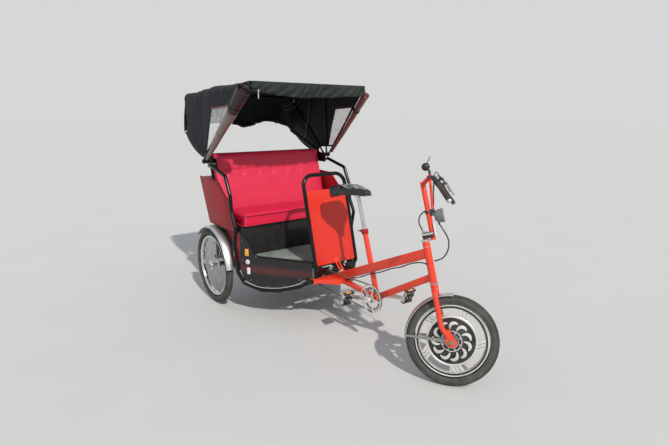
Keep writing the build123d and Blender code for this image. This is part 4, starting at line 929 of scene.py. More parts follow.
class RICKSHAW_OT_rear_wheels(bpy.types.Operator):
    """Spoked rear wheels with rims, hubs and nipples"""
    bl_idname = "rickshaw.rear_wheels"
    bl_label = "Rear wheels"

    def execute(self, context):
        sizes = context.scene.rickshaw_sizes
        each = sizes.spokes // 4
        rim = rim_form(REAR_RIM_R, 0.016, REAR_RIM_HALF)
        half = [(0.0102, -HUB_HALF), (0.019, -HUB_HALF), (0.021, -0.031), (0.021, -0.030), (FLANGE_R, -0.030),
                (FLANGE_R + 0.0005, -0.0285), (FLANGE_R, -0.027), (0.023, -0.0265)]
        hub = lathe(half + [(0.019, -0.018), (0.018, 0.018)] + mirrored_profile(half)[len(half):], 48)
        spokes = Form()
        end_r = FLANGE_R - 0.004
        for side in SIDES:
            for lean in SIDES:
                at_hub = radians(62 * lean)
                start = Vector((end_r * cos(at_hub), side * (FLANGE_Y + 0.0015 * lean), end_r * sin(at_hub)))
                end = Vector((REAR_RIM_R - 0.014, side * 0.003, 0))
                spoke = tube([start, end], sizes.spoke_radius, sides=6)
                nipple = tube([end + (start - end).normalized() * 0.014, end], 0.0024, sides=6)
                phase = (0 if lean > 0 else 0.5) + (0 if side > 0 else 0.25)
                spokes = spokes + ring_of(spoke + nipple, each, "chrome", phase * 2 * pi / each)
        valve = tube([(REAR_RIM_R - 0.018, 0, 0), (REAR_RIM_R - 0.052, 0, 0)], 0.0035, sides=10).turned(-77, "Y")
        washers = disc(0.016, 0.0325, 0.0338, 0.0102) + disc(0.016, -0.0338, -0.0325, 0.0102)
        wheel = rim + hub + spokes + valve.marked(1) + washers
        for side, centre in REAR_WHEELS:
            piece("rear_wheel_bright_" + side, wheel.shifted(*centre), ["chrome", "rubber"], "wheel_" + side,
                  "rear_wheel_" + side, "bright_chrome")
        return {"FINISHED"}


MOTOR_R = 0.142
FRONT_RIM_R = 0.2047
RIB_GROUPS = 5
RIB_TURN = 33.0
RIB_HALF = 0.0165
# Columns of a fin: radius and degrees of a point on its middle line, width there
FIN = ((0.066, 0, 0.004), (0.076, 0, 0.010), (0.088, 2.5, 0.0155), (0.099, 6.5, 0.0185), (0.1055, 12, 0.0195),
       (0.108, 18, 0.0165), (0.107, 24, 0.0110), (0.104, 28.5, 0.0045))


def span(side, near, far):
    """Low and high y of what lies between two distances on one side."""
    return sorted((side * near, side * far))


def crescent():
    """One curved fin: a hooked blade."""
    centres = [Vector((r * cos(radians(a)), 0, r * sin(radians(a)))) for r, a, wide in FIN]
    left, right = [], []
    for i, (centre, (r, a, wide)) in enumerate(zip(centres, FIN)):
        ahead = centres[min(i + 1, len(centres) - 1)] - centres[max(i - 1, 0)]
        side = Vector((-ahead.z, 0, ahead.x)).normalized() * (wide / 2)
        left.append(centre + side)
        right.append(centre - side)
    return prism([(p.x, p.z) for p in left + right[::-1]], 0.0220, 0.0270)


class RICKSHAW_OT_front_wheel(bpy.types.Operator):
    """Cast front wheel and its hub motor with curved fins"""
    bl_idname = "rickshaw.front_wheel"
    bl_label = "Front wheel"

    def execute(self, context):
        self.wheel()
        self.motor(context.scene.rickshaw_sizes.motor_fins)
        return {"FINISHED"}

    def wheel(self):
        """Rim, ring and rib groups, with a black band on each side of the rim."""
        rim = rim_form(FRONT_RIM_R, 0.019, 0.0175)
        lips = total(hoop(FRONT_RIM_R - 0.002, FRONT_RIM_R + 0.0035, side * 0.0172, side * 0.0198, 120)
                     for side in SIDES)
        ring = lathe(mirrored_profile([(MOTOR_R - 0.008, -0.019), (MOTOR_R - 0.006, -0.021),
                                       (MOTOR_R + 0.003, -0.021), (MOTOR_R + 0.005, -0.019)]), 120)
        long_rib = (FRONT_RIM_R - 0.013 - MOTOR_R) / cos(radians(RIB_TURN))
        rib = prism([(-0.002, -0.0078), (long_rib, -0.0066), (long_rib, 0.0066), (-0.002, 0.0078)],
                    -RIB_HALF, RIB_HALF).turned(-RIB_TURN, "Y")
        ribs = total(ring_of(rib.shifted(MOTOR_R + 0.002, 0, offset), RIB_GROUPS, "alloy", radians(22))
                     for offset in (-0.021, 0.0, 0.021))
        pad = prism([(0, -0.034), (0.007, -0.046), (0.007, 0.020), (0, 0.030)], -RIB_HALF, RIB_HALF)
        pads = ring_of(pad.shifted(FRONT_RIM_R - 0.024, 0, 0.030), RIB_GROUPS, "alloy", radians(22))
        bands = total(hoop(FRONT_RIM_R - 0.0155, FRONT_RIM_R - 0.0025, *span(side, 0.0160, 0.0181), 120)
                      for side in SIDES)
        wheel = rim + pads + lips + ring + ribs + bands.marked(1)
        piece("front_wheel_cast", wheel.moved(FRONT_AXLE), ["alloy", "motor"], "front_wheel_set", "front_wheel",
              "cast_alloy", bevel=0.0008)

    def motor(self, fins):
        """Drum with bright fins and rings on both covers."""
        drum = lathe(mirrored_profile([(0.0102, 0.028), (0.056, 0.028), (0.058, 0.0265), (0.064, 0.0225),
                                       (0.120, 0.0205), (0.127, 0.0185), (MOTOR_R - 0.0083, 0.0175)]), 96)
        blades = ring_of(crescent(), fins, "alloy", 0.1)
        bright = blades + blades.turned(180, "Z")
        for low, high, near, far in ((0.0555, 0.0605, 0.0235, 0.0300), (0.0375, 0.0400, 0.0278, 0.0305)):
            bright = bright + total(hoop(low, high, *span(side, near, far), 72) for side in SIDES)
        bearing = disc(0.034, 0.028, 0.0325, 0.011) + disc(0.034, -0.0325, -0.028, 0.011)
        bolts = ring_of(bolt(0.0032, 0.003).shifted(0.049, 0.028, 0), 8, "steel", 0.2).marked(1)
        motor = drum + bright.marked(1) + bearing.marked(2) + bolts + bolts.turned(180, "Z")
        piece("hub_motor_finned", motor.moved(FRONT_AXLE), ["motor", "alloy", "steel"], "front_wheel_set",
              "hub_motor", "motor_black", bevel=0.0005)


# Fork, frame and steering
FORK_HALF = 0.058
AXLE_IN_FORK = STEER.inverted() @ Vector(JOINTS["front_wheel_spin"]["pos_m"])
AXLE_DROP = -AXLE_IN_FORK.z
FORK_OFFSET = AXLE_IN_FORK.x
HEAD_LENGTH = 0.242


def collar(z, radius, height, bore=0.0):
    """Ring about the steering axis."""
    return disc(radius, -height / 2, height / 2, bore, 40, min(height, 0.004) * 0.3).turned(90, "X").shifted(0, 0, z)


class RICKSHAW_OT_fork(bpy.types.Operator):
    """Fork with its crown sleeve, bent legs and flat ends"""
    bl_idname = "rickshaw.fork"
    bl_label = "Fork"

    def execute(self, context):
        crown = tube([(0, 0, -0.064), (0, 0, -0.008)], 0.0225, sides=32)
        shoulder = tube([(0, y, z) for y, z in ((-FORK_HALF, -0.046), (-0.030, -0.038), (0.030, -0.038),
                                                (FORK_HALF, -0.046))], 0.0175, 0.03, 20)
        leg_path = [(0, FORK_HALF, -0.040), (0, FORK_HALF, -0.255),
                    (FORK_OFFSET - 0.010, FORK_HALF, -AXLE_DROP + 0.030)]
        leg = sweep(rounded(leg_path, 0.09), circle(0.0155, 20), scale=lambda t: 1.0 - 0.12 * t)
        flare = [(FORK_OFFSET - 0.012 + 0.016 * t ** 2, -AXLE_DROP + 0.075 - 0.080 * t, 0.015 + 0.014 * t)
                 for t in [i / 12 for i in range(13)]]
        left = [(x - w, z) for x, z, w in flare]
        right = [(x + w, z) for x, z, w in flare]
        round_end = [(FORK_OFFSET + 0.004 + 0.029 * cos(a), -AXLE_DROP - 0.005 + 0.022 * sin(a))
                     for a in [radians(180 + 18 * k) for k in range(1, 10)]]
        end_plate = prism(left + round_end + right[::-1], FORK_HALF - 0.006, FORK_HALF + 0.006)
        nut = hexagon(0.0125, FORK_HALF + 0.009, FORK_HALF + 0.0155) \
            + disc(0.016, FORK_HALF + 0.006, FORK_HALF + 0.009, 0, 28)
        stub = disc(0.0065, FORK_HALF + 0.015, FORK_HALF + 0.0195, 0, 20, 0.001)
        axle = disc(0.0098, -FORK_HALF - 0.004, FORK_HALF + 0.004, 0, 24)
        bright = ((nut + stub).both() + axle).shifted(FORK_OFFSET, 0, -AXLE_DROP)
        steerer = tube([(0, 0, HEAD_LENGTH + 0.013), (0, 0, HEAD_LENGTH + 0.052)], 0.0139, sides=24)
        body = crown + shoulder + (leg + end_plate).both() + (bright + steerer).marked(1)
        piece("fork_painted", body.moved(STEER), ["frame", "brass"], "steering", "fork", "frame_paint", bevel=0.0012)
        rings = total(collar(*sizes) for sizes in (
            (-0.0045, 0.0255, 0.0062, 0.0141), (HEAD_LENGTH + 0.0075, 0.0255, 0.011, 0.0141),
            (HEAD_LENGTH - 0.030, 0.0226, 0.0030, 0.0215)))
        piece("headset_rings", rings.moved(STEER), "chrome", "root", "headset", "bright_chrome")
        return {"FINISHED"}


def guard_form(radius, half, drop, power, steps, edge_r, edge_in, sides, start, stop):
    """Mudguard's crowned strip and the rolled edges along it."""
    places = [-1 + 2 * i / steps for i in range(steps + 1)]
    section = [(radius - drop * abs(t) ** power, half * t) for t in places]
    sheet = lathe(section + [(r + 0.0016, y) for r, y in reversed(section)], sides, start, stop)
    edges = [lathe(ellipse(edge_r, edge_r, 8, radius - edge_in, side * half), sides, start, stop) for side in SIDES]
    return sheet + total(edges)


class RICKSHAW_OT_front_guard(bpy.types.Operator):
    """Front mudguard, its bracket and flat stays"""
    bl_idname = "rickshaw.front_guard"
    bl_label = "Front mudguard"

    def execute(self, context):
        radius, half, stop = 0.274, 0.037, 168.0
        guard = guard_form(radius, half, 0.010, 2.2, 8, 0.0018, 0.0105, 160, 77.0, stop)
        foot = radians(stop - 3)
        tip = Vector((cos(foot), 0, sin(foot))) * (radius - 0.005)
        flat = Vector((-sin(foot), 0, cos(foot)))
        outline = [tip + flat * 0.006, tip - flat * 0.006, -flat * 0.012, flat * 0.012]
        stay = prism([(p.x, p.z) for p in outline], half - 0.001, half + 0.0015) \
            + disc(0.017, half - 0.001, half + 0.0015, 0.0102, 32) \
            + bolt(0.004, 0.003).shifted(tip.x * 0.97, half + 0.0015, tip.z * 0.97)
        whole = guard + stay.both().marked(1)
        piece("front_guard", whole.moved(FRONT_AXLE), ["guard", "disc"], "steering", "front_mudguard",
              "bright_chrome")
        return {"FINISHED"}


BULKHEAD_LEAN = radians(15)
BULKHEAD_FOOT_Z = 0.450


def bulkhead_x(z):
    """Where the leaning bulkhead stands at a height, from the rear axle."""
    return 0.900 - (z - BULKHEAD_FOOT_Z) * tan(BULKHEAD_LEAN)


FRAME_TAIL = (0.900, 0.343)
HEAD_LOW = 0.034
HEAD_HIGH = HEAD_LENGTH - 0.066
SEAT_ANGLE = radians(18.5)
SEAT_WAY = Vector((-sin(SEAT_ANGLE), 0, cos(SEAT_ANGLE)))
CRANK_FROM_AXLE = (CRANK.x - REAR_X, CRANK.z)
SEAT_TUBE_TOP = 0.767
BULKHEAD_HALF = 0.200


def seat_line(z):
    """Point on the seat tube's axis at a height."""
    return at(CRANK_FROM_AXLE[0] - (z - CRANK_FROM_AXLE[1]) * tan(SEAT_ANGLE), 0, z)


def weld(centre, radius, axis, bead=0.0022):
    """Small weld bead round a joint."""
    return lathe(ellipse(bead, bead, 6, radius), 28).moved(facing(axis, centre))


class RICKSHAW_OT_frame(bpy.types.Operator):
    """Main frame tubes, gusset, lugs and welds"""
    bl_idname = "rickshaw.frame"
    bl_label = "Frame"

    def execute(self, context):
        head_low, head_high = steer_at(0, 0, HEAD_LOW), steer_at(0, 0, HEAD_HIGH)
        tail = at(FRAME_TAIL[0], 0, FRAME_TAIL[1])
        slope = (head_high.z - tail.z) / (head_high.x - tail.x)
        # Columns: ends, width, height and corner radius of a square tube
        boxes = total(sweep([start, end], rounded_rectangle(wide, high, corner, 3), up=(0, 0, 1))
                      for start, end, wide, high, corner in (
                          (tail, head_high, 0.040, 0.060, 0.006), (CRANK, head_low, 0.034, 0.042, 0.006),
                          (tail, CRANK, 0.036, 0.030, 0.005)))
        tubes = tube([steer_at(0, 0, 0.0004), steer_at(0, 0, HEAD_LENGTH - 0.0004)], 0.022, sides=40) \
            + tube([CRANK, seat_line(SEAT_TUBE_TOP)], 0.018, sides=28)
        shell = disc(0.0245, -0.036, 0.036, 0.0115, 40, 0.0015).shifted(*CRANK)
        seat_weld = seat_line(FRAME_TAIL[1] + (seat_line(0.5).x - tail.x) * slope)
        welds = weld(head_low - (head_low - CRANK).normalized() * 0.024, 0.0205, head_low - CRANK) \
            + weld(CRANK + Vector((0, 0, 0.026)), 0.0185, SEAT_WAY) \
            + weld(seat_weld + Vector((-0.010, 0, 0.034)), 0.0185, SEAT_WAY)
        body = boxes + tubes + shell + self.gusset() + self.brace(tail, slope) + welds
        piece("frame_painted", body, "frame", "root", "main_frame", "frame_paint", bevel=0.001)
        grip_at = seat_line(SEAT_TUBE_TOP - 0.010)
        clamp = tube([seat_line(SEAT_TUBE_TOP - 0.026), seat_line(SEAT_TUBE_TOP + 0.006)], 0.0235, sides=32)
        tilt = Matrix.Translation(grip_at) @ Matrix.Rotation(-SEAT_ANGLE, 4, "Y")
        ears = block(0.026, 0.018, 0.020).moved(tilt).shifted(-0.026, 0, 0)
        lever = tube([grip_at + Vector(p) for p in ((-0.030, -0.016, 0), (-0.030, -0.034, 0.004),
                                                    (0.020, -0.040, 0.010))], 0.0042, 0.008, 10)
        piece("seat_clamp_ring", clamp + ears + lever.marked(1), ["cab", "steel"], "root", "seat_clamp",
              "bare_steel", bevel=0.001)
        post = tube([seat_line(SEAT_TUBE_TOP - 0.020), seat_line(0.984)], 0.0136, sides=28)
        piece("seatpost_bright", post, "chrome", "root", "seatpost", "bright_chrome")
        return {"FINISHED"}

    def gusset(self):
        """Cross tube at the tail and the plate in front of it, with its turned-down edges."""
        top_z = FRAME_TAIL[1] + 0.015
        rear, front, half_rear, half_front = FRAME_TAIL[0] - 0.020, 1.021, 0.194, 0.063
        cross = block(0.040, 2 * BULKHEAD_HALF, 0.030).shifted(*at(rear, 0, FRAME_TAIL[1]))
        plate = flat_prism([(at(x, 0, 0).x, y) for x, y in ((rear, -half_rear), (front, -half_front),
                                                            (front, half_front), (rear, half_rear))],
                           top_z, top_z + 0.005)
        lip = total(sweep([at(rear, side * (half_rear - 0.002), top_z + 0.002),
                           at(front, side * half_front, top_z + 0.002)],
                          [(-0.002, 0.002), (0.002, 0.002), (0.002, -0.028), (-0.002, -0.028)], up=(0, 0, 1))
                    for side in SIDES)
        nose = flat_prism([(at(front + x, 0, 0).x, y * half_front) for x, y in ((-0.002, -1), (0.002, -1),
                                                                                (0.002, 1), (-0.002, 1))],
                          top_z - 0.022, top_z + 0.004)
        return cross + plate + lip + nose

    def brace(self, tail, slope):
        """Two thin struts from the top tube to a foot bolted on the bulkhead."""
        foot_z = BULKHEAD_FOOT_Z + 0.024
        foot_x, end_x = bulkhead_x(foot_z) + 0.004, 0.995
        turn = Matrix.Translation(at(foot_x, 0, foot_z)) @ Matrix.Rotation(-BULKHEAD_LEAN, 4, "Y")
        brace = block(0.004, 0.052, 0.032).shifted(0.0024, 0, 0).moved(turn)
        for side in SIDES:
            end = at(end_x, side * 0.013, tail.z + (end_x - FRAME_TAIL[0]) * slope)
            brace = brace + tube([at(foot_x + 0.006, side * 0.013, foot_z), end], 0.006) \
                + bolt(0.004, 0.003).turned(-90, "Z").shifted(*at(foot_x + 0.005, side * 0.021, foot_z))
        return brace


# CAD surfaces that keep their shape
def cad_form(node):
    """A frame node's own surface, with its triangles merged and its flat stretches joined."""
    work = bmesh.new()
    work.from_mesh(frame["nodes"][node].data)
    bmesh.ops.remove_doubles(work, verts=work.verts, dist=2e-5)
    bmesh.ops.dissolve_limit(work, angle_limit=radians(0.6), verts=work.verts, edges=work.edges)
    work.verts.index_update()
    form = Form([v.co.copy() for v in work.verts], [tuple(v.index for v in f.verts) for f in work.faces])
    work.free()
    return form


def dressed(node, finish, slot, extra=None, bevel=0.0, more=(), angle=SHARP_ANGLE):
    """The node's own surface with softened edges, a finish and added small parts."""
    form = cad_form(node) + extra if extra else cad_form(node)
    body = frame["nodes"][node]["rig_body"]
    return piece(node + "_dressed", form, [finish, *more], body, node, slot, bevel=bevel, angle=angle)


def bolt_row(places, out, radius):
    """Dome bolts at places, pointing out."""
    turn = tuple(Vector(out).to_track_quat("Y", "Z").to_euler())
    return spots_of(rivet(radius), places, "steel", [turn] * len(places))


# Handlebar group, in the steering frame
RISER_X = 0.045
BAR = Vector((0.092, 0, 0.606))
GRIP_START = Vector((0.125, 0.180, 0.588))
GRIP_END = Vector((0.188, 0.305, 0.440))
GRIP_WAY = (GRIP_END - GRIP_START).normalized()
GRIP_LENGTH = (GRIP_END - GRIP_START).length - 0.062
GRIP_RIDGES = 13
BAR_BORE = 0.0112


def along_grip(distance, out=0.0):
    return GRIP_START + GRIP_WAY * distance + Vector((0.894, 0, 0.447)) * out


class RICKSHAW_OT_bars(bpy.types.Operator):
    """Riser, handlebar, grips, levers, bell and lamp"""
    bl_idname = "rickshaw.bars"
    bl_label = "Handlebar"

    def execute(self, context):
        self.riser()
        half = [BAR, (BAR.x, 0.060, BAR.z), GRIP_START, GRIP_START + GRIP_WAY * 0.075]
        bar = tube(half, 0.011, 0.05, 24).both()
        piece("handlebar_tube", bar.moved(STEER), ["plastic"], "steering", "handlebar", "black_tube")
        self.grips()
        self.levers()
        self.bell()
        self.lamp()
        self.reflector()
        return {"FINISHED"}

    def riser(self):
        """Sleeve on the steerer, neck, stays and clamp."""
        foot = HEAD_LENGTH + 0.004
        outer = lathe([(0.0128, 0.306), (0.0128, foot + 0.0002), (0.0140, foot), (0.0153, foot + 0.0012),
                       (0.0153, 0.590), (AXIS_GAP, 0.590), (AXIS_GAP, 0.306)], 32)
        outer = outer.turned(90, "X").shifted(RISER_X, 0, 0)
        bore = tube([(RISER_X, 0, 0.3050), (RISER_X, 0, 0.3055)], 0.0125, sides=24)
        neck = tube([(RISER_X, 0, 0.574), (RISER_X + 0.02, 0, 0.592), BAR], 0.0135, 0.02, 24)
        head = disc(0.018, -0.022, 0.022, BAR_BORE, 32, 0.001).shifted(*BAR)
        stays = total(tube([(0.074, y, 0.4254), (0.0745, y, 0.445), (0.090, y, 0.585),
                            (BAR.x - 0.002, y, BAR.z - 0.004)], 0.0068, 0.06, 14) for y in (-0.014, 0.014))
        middle = RISER_X / 2 - 0.003
        clamp = prism(rounded_rectangle(RISER_X + 0.020, 0.036, 0.008), -0.021, 0.021)
        clamp = clamp.shifted(middle, 0, HEAD_LENGTH + 0.036)
        band = prism(rounded_rectangle(RISER_X + 0.0215, 0.012, 0.003), -0.0218, 0.0218)
        band = band.shifted(middle, 0, HEAD_LENGTH + 0.044)
        screws = total(hexagon(0.0045, 0.021, 0.026).shifted(x, 0, HEAD_LENGTH + 0.030) for x in (-0.004, 0.030))
        top_cap = collar(HEAD_LENGTH + 0.0585, 0.0165, 0.006)
        body = outer + neck + head + stays + (clamp + screws.both()).marked(2) \
            + (band + top_cap).marked(1) + bore.marked(2)
        piece("handlebar_riser_painted", body.moved(STEER), ["frame", "chrome", "plastic"], "steering",
              "handlebar_riser", "frame_paint", bevel=0.0008)

    def grips(self):
        """Ridged sleeves with a collar and a bright cap."""
        profile = []
        for i in range(GRIP_RIDGES):
            z, step = GRIP_LENGTH * i / GRIP_RIDGES, GRIP_LENGTH / GRIP_RIDGES
            profile += [(0.0136, z), (0.0136, z + step * 0.6), (0.0126, z + step * 0.65), (0.0126, z + step * 0.95)]
        grip = lathe([(BAR_BORE, 0)] + profile + [(0.0132, GRIP_LENGTH - 0.001), (BAR_BORE, GRIP_LENGTH)], 28)
        end = lathe([(BAR_BORE, -0.004), (0.0155, -0.004), (0.0160, 0), (0.0155, 0.004), (BAR_BORE, 0.004)], 28)
        cap = lathe([(AXIS_GAP, GRIP_LENGTH + 0.005), (0.010, GRIP_LENGTH + 0.005), (0.0125, GRIP_LENGTH + 0.002),
                     (0.0132, GRIP_LENGTH - 0.010), (AXIS_GAP, GRIP_LENGTH - 0.010)], 28)
        one = (grip + end + cap.marked(1)).moved(facing(GRIP_WAY, along_grip(0.060)))
        piece("grip_sleeves", one.both().moved(STEER), ["grip", "chrome"], "steering", "grips", "black_rubber")

    def levers(self):
        """Brake levers with their perches and cable adjusters."""
        ring = lathe([(0.0113, -0.010), (0.0165, -0.010), (0.0175, -0.008), (0.0175, 0.008), (0.0165, 0.010),
                      (0.0113, 0.010)], 28).moved(facing(GRIP_WAY, along_grip(0.040)))
        perch = tube([along_grip(*place) for place in ((0.040, 0.013), (0.040, 0.030), (0.048, 0.034))],
                     0.0075, 0.006, 14)
        path = rounded([along_grip(*place) for place in ((0.040, 0.029), (0.060, 0.037), (0.100, 0.031),
                                                         (0.146, 0.031))], 0.02)
        blade = sweep(path, ellipse(0.0062, 0.0036, 12), scale=lambda t: 1.0 - 0.25 * t)
        tip = ball(0.0056).moved(Matrix.Translation(path[-1]))
        adjuster = tube([along_grip(0.028, 0.024), along_grip(0.010, 0.026)], 0.0042, sides=12)
        lever = ring + perch + (blade + tip + adjuster).marked(1)
        piece("brake_lever_pair", lever.both().moved(STEER), ["plastic", "steel"], "steering", "brake_levers",
              "black_plastic", bevel=0.0006)

    def bell(self):
        """Ball-shaped bell on a short stem."""
        y = 0.044
        bell_at = Vector((BAR.x - 0.016, y, BAR.z + 0.072))
        dome = ball(0.0245, 20, 36).turned(60, "X")
        seam = lathe([(0.0238, -0.0022), (0.0252, -0.0014), (0.0252, 0.0014), (0.0238, 0.0022)], 40).turned(90, "X")
        foot = tube([(BAR.x, y, BAR.z + 0.010), (BAR.x, y, BAR.z + 0.050)], 0.0075, sides=16)
        strap = disc(0.0150, -0.007, 0.007, BAR_BORE, 24).shifted(BAR.x, y, BAR.z)
        spike = sweep([bell_at + Vector((0.010, 0, 0.016)), bell_at + Vector((0.039, 0, 0.057))], circle(0.0034, 10),
                      scale=lambda t: 1 - 0.5 * t)
        dot = ball(0.0050).shifted(*(bell_at + Vector((0.020, -0.006, 0.021))))
        body = (dome + seam).shifted(*bell_at) + foot + strap + spike + dot.marked(1)
        piece("bell_ball", body.moved(STEER), ["plastic", "chrome"], "steering", "bell", "black_plastic")

    def lamp(self):
        """Round lamp with a finned bracket."""
        bucket = lathe([(0.012, -0.030), (0.024, -0.028), (0.034, -0.018), (0.039, -0.004), (0.0405, 0.014),
                        (0.0415, 0.016), (0.0420, 0.020), (0.0415, 0.0245), (0.0380, 0.0245), (0.0375, 0.019),
                        (0.012, 0.010)], 48)
        rim = lathe([(0.0372, 0.0195), (0.0405, 0.0250), (0.0395, 0.0262), (0.0370, 0.0225)], 48)
        glass = lathe([(AXIS_GAP, 0.0245), (0.020, 0.0238), (0.0372, 0.0205), (0.0372, 0.018), (AXIS_GAP, 0.018)], 40)
        unit = (bucket + rim.marked(1) + glass.marked(2)).turned(-90, "Z").shifted(0.105, 0, 0.378)
        fins = total(block(0.003, 0.038, 0.038).shifted(0.063 + 0.0062 * i, 0, 0.403) for i in range(4))
        fins = fins + block(0.024, 0.040, 0.0034).shifted(0.072, 0, 0.4232)
        arm = tube([(RISER_X + 0.010, 0, 0.410), (0.074, 0, 0.410), (0.086, 0, 0.392)], 0.0080, 0.010, 14)
        ring = collar(0.410, 0.0195, 0.016, 0.0156).shifted(RISER_X, 0, 0)
        whole = unit + (fins + arm + ring).marked(3)
        piece("headlamp_unit", whole.moved(STEER), ["grey", "chrome", "clear_lens", "plastic"], "steering",
              "headlamp", "grey_plastic", bevel=0.0005)

    def reflector(self):
        """White plate on the front of the riser."""
        shape = rounded_rectangle(0.044, 0.082, 0.008)
        plate = prism(shape, 0, 0.005) + prism([(a * 0.88, b * 0.94) for a, b in shape], 0.005, 0.0078).marked(1)
        plate = plate.turned(-90, "Z").shifted(RISER_X + 0.0154, 0, HEAD_LENGTH + 0.062)
        piece("front_reflector_plate", plate.moved(STEER), ["white", "clear_lens"], "steering", "front_reflector",
              "white_lens", bevel=0.0008)


# Cables: each route's points are the spline's control points
BRAKE_ROUTE = ((0.1622, 0.2005, 0.5771), (0.150, 0.177, 0.605), (0.138, 0.130, 0.622), (0.122, 0.075, 0.610),
               (0.104, 0.035, 0.560), (0.092, 0.016, 0.500), (0.084, 0.010, 0.445), (0.076, 0.006, 0.4262))
LAMP_ROUTE = ((0.092, 0, 0.3415), (0.104, 0, 0.308), (0.124, 0, 0.262), (0.131, 0, 0.218), (0.116, 0, 0.170),
              (0.084, 0, 0.134), (0.048, 0, 0.124), (0.027, 0, 0.124))
LOOP_ROUTE = ((0.0290, 0, 0.421), (0, 0, 0.408), (-0.018, 0, 0.378), (-0.020, 0, 0.344), (-0.004, 0, 0.305))
# Columns: distance from the rear axle, across, drop under the top tube
BUNDLE = ((1.745, -0.020, 0.013), (1.660, -0.014, 0.005), (1.570, -0.014, 0.014), (1.480, -0.015, 0.006),
          (1.390, -0.019, 0.016), (1.300, -0.024, 0.006), (1.210, -0.018, 0.013), (1.120, -0.014, 0.006),
          (1.060, -0.014, 0.010), (1.023, -0.014, 0.0055))
TIE_POINTS = (9, 20, 32, 44, 56, 68, 78)


class RICKSHAW_OT_cables(bpy.types.Operator):
    """Brake and lamp cables, and the bundle tied under the top tube"""
    bl_idname = "rickshaw.cables"
    bl_label = "Cables"

    def execute(self, context):
        brake = sweep(spline_path(BRAKE_ROUTE), circle(0.0025, 10))
        brake_end, lamp_end = Vector(BRAKE_ROUTE[-1]), Vector(LAMP_ROUTE[0])
        ferrule = tube([brake_end, brake_end.lerp(Vector(BRAKE_ROUTE[-2]), 0.7)], 0.0036, sides=10)
        lamp = sweep(spline_path(LAMP_ROUTE), circle(0.0040, 14))
        loop = sweep(spline_path(LOOP_ROUTE), circle(0.0038, 14))
        gland = sweep([lamp_end, lamp_end.lerp(Vector(LAMP_ROUTE[1]), 0.5)], circle(0.0062, 14),
                      scale=lambda t: 1 - 0.3 * t)
        front = (brake + ferrule.marked(1)).both() + lamp + loop + gland
        piece("front_cable_set", front.moved(STEER), ["cable", "steel"], "steering", "front_cables", "black_rubber")
        self.bundle()
        return {"FINISHED"}

    def bundle(self):
        """Three twisted strands under the top tube with a tie at each clip."""
        tail, head = at(FRAME_TAIL[0], 0, FRAME_TAIL[1]), steer_at(0, 0, HEAD_HIGH)
        slope = (head.z - tail.z) / (head.x - tail.x)
        under = 0.030 / cos(atan2(head.z - tail.z, head.x - tail.x))
        route = [steer_at(0, 0, 0.113) + Vector((0.003, -0.0266, 0))]
        route += [at(x, y, FRAME_TAIL[1] + (x - FRAME_TAIL[0]) * slope - under - drop) for x, y, drop in BUNDLE]
        path = spline_path(route, 8)
        strands, ties = Form(), Form()
        for k in range(3):
            strand = []
            for i, (place, (_, side, over)) in enumerate(zip(path, frames_along(path))):
                a = 2 * pi * k / 3 + i * 0.16
                strand.append(place + side * (0.0022 * cos(a)) + over * (0.0022 * sin(a)))
            strands = strands + sweep(strand, circle(0.0021 - 0.0002 * k, 8))
        for i in TIE_POINTS:
            place, ahead = path[min(i, len(path) - 2):][:2]
            step = (ahead - place).normalized() * 0.0022
            ties = ties + tube([place - step, place + step], 0.0050, sides=12) \
                + block(0.004, 0.004, 0.007).shifted(*(place + Vector((0, -0.0045, -0.002))))
        piece("frame_cable_bundle", strands + ties.marked(1), ["cable", "plastic"], "root", "frame_cables",
              "black_rubber")


# Saddle
SADDLE_TOP = seat_line(0.985)
SADDLE_DEEP = 0.043
# Columns: place along the saddle from its tail, half width, height of the crown, drop of the cover's hem
SADDLE_SECTIONS = (
    (0.0, 0.070, 0.026, 0.052), (0.025, 0.098, 0.036, 0.062), (0.10, 0.117, 0.043, 0.066),
    (0.30, 0.123, 0.045, 0.040), (0.48, 0.104, 0.041, 0.016), (0.64, 0.070, 0.040, 0.010),
    (0.80, 0.042, 0.041, 0.008), (0.95, 0.030, 0.038, 0.007), (1.0, 0.016, 0.026, 0.005))


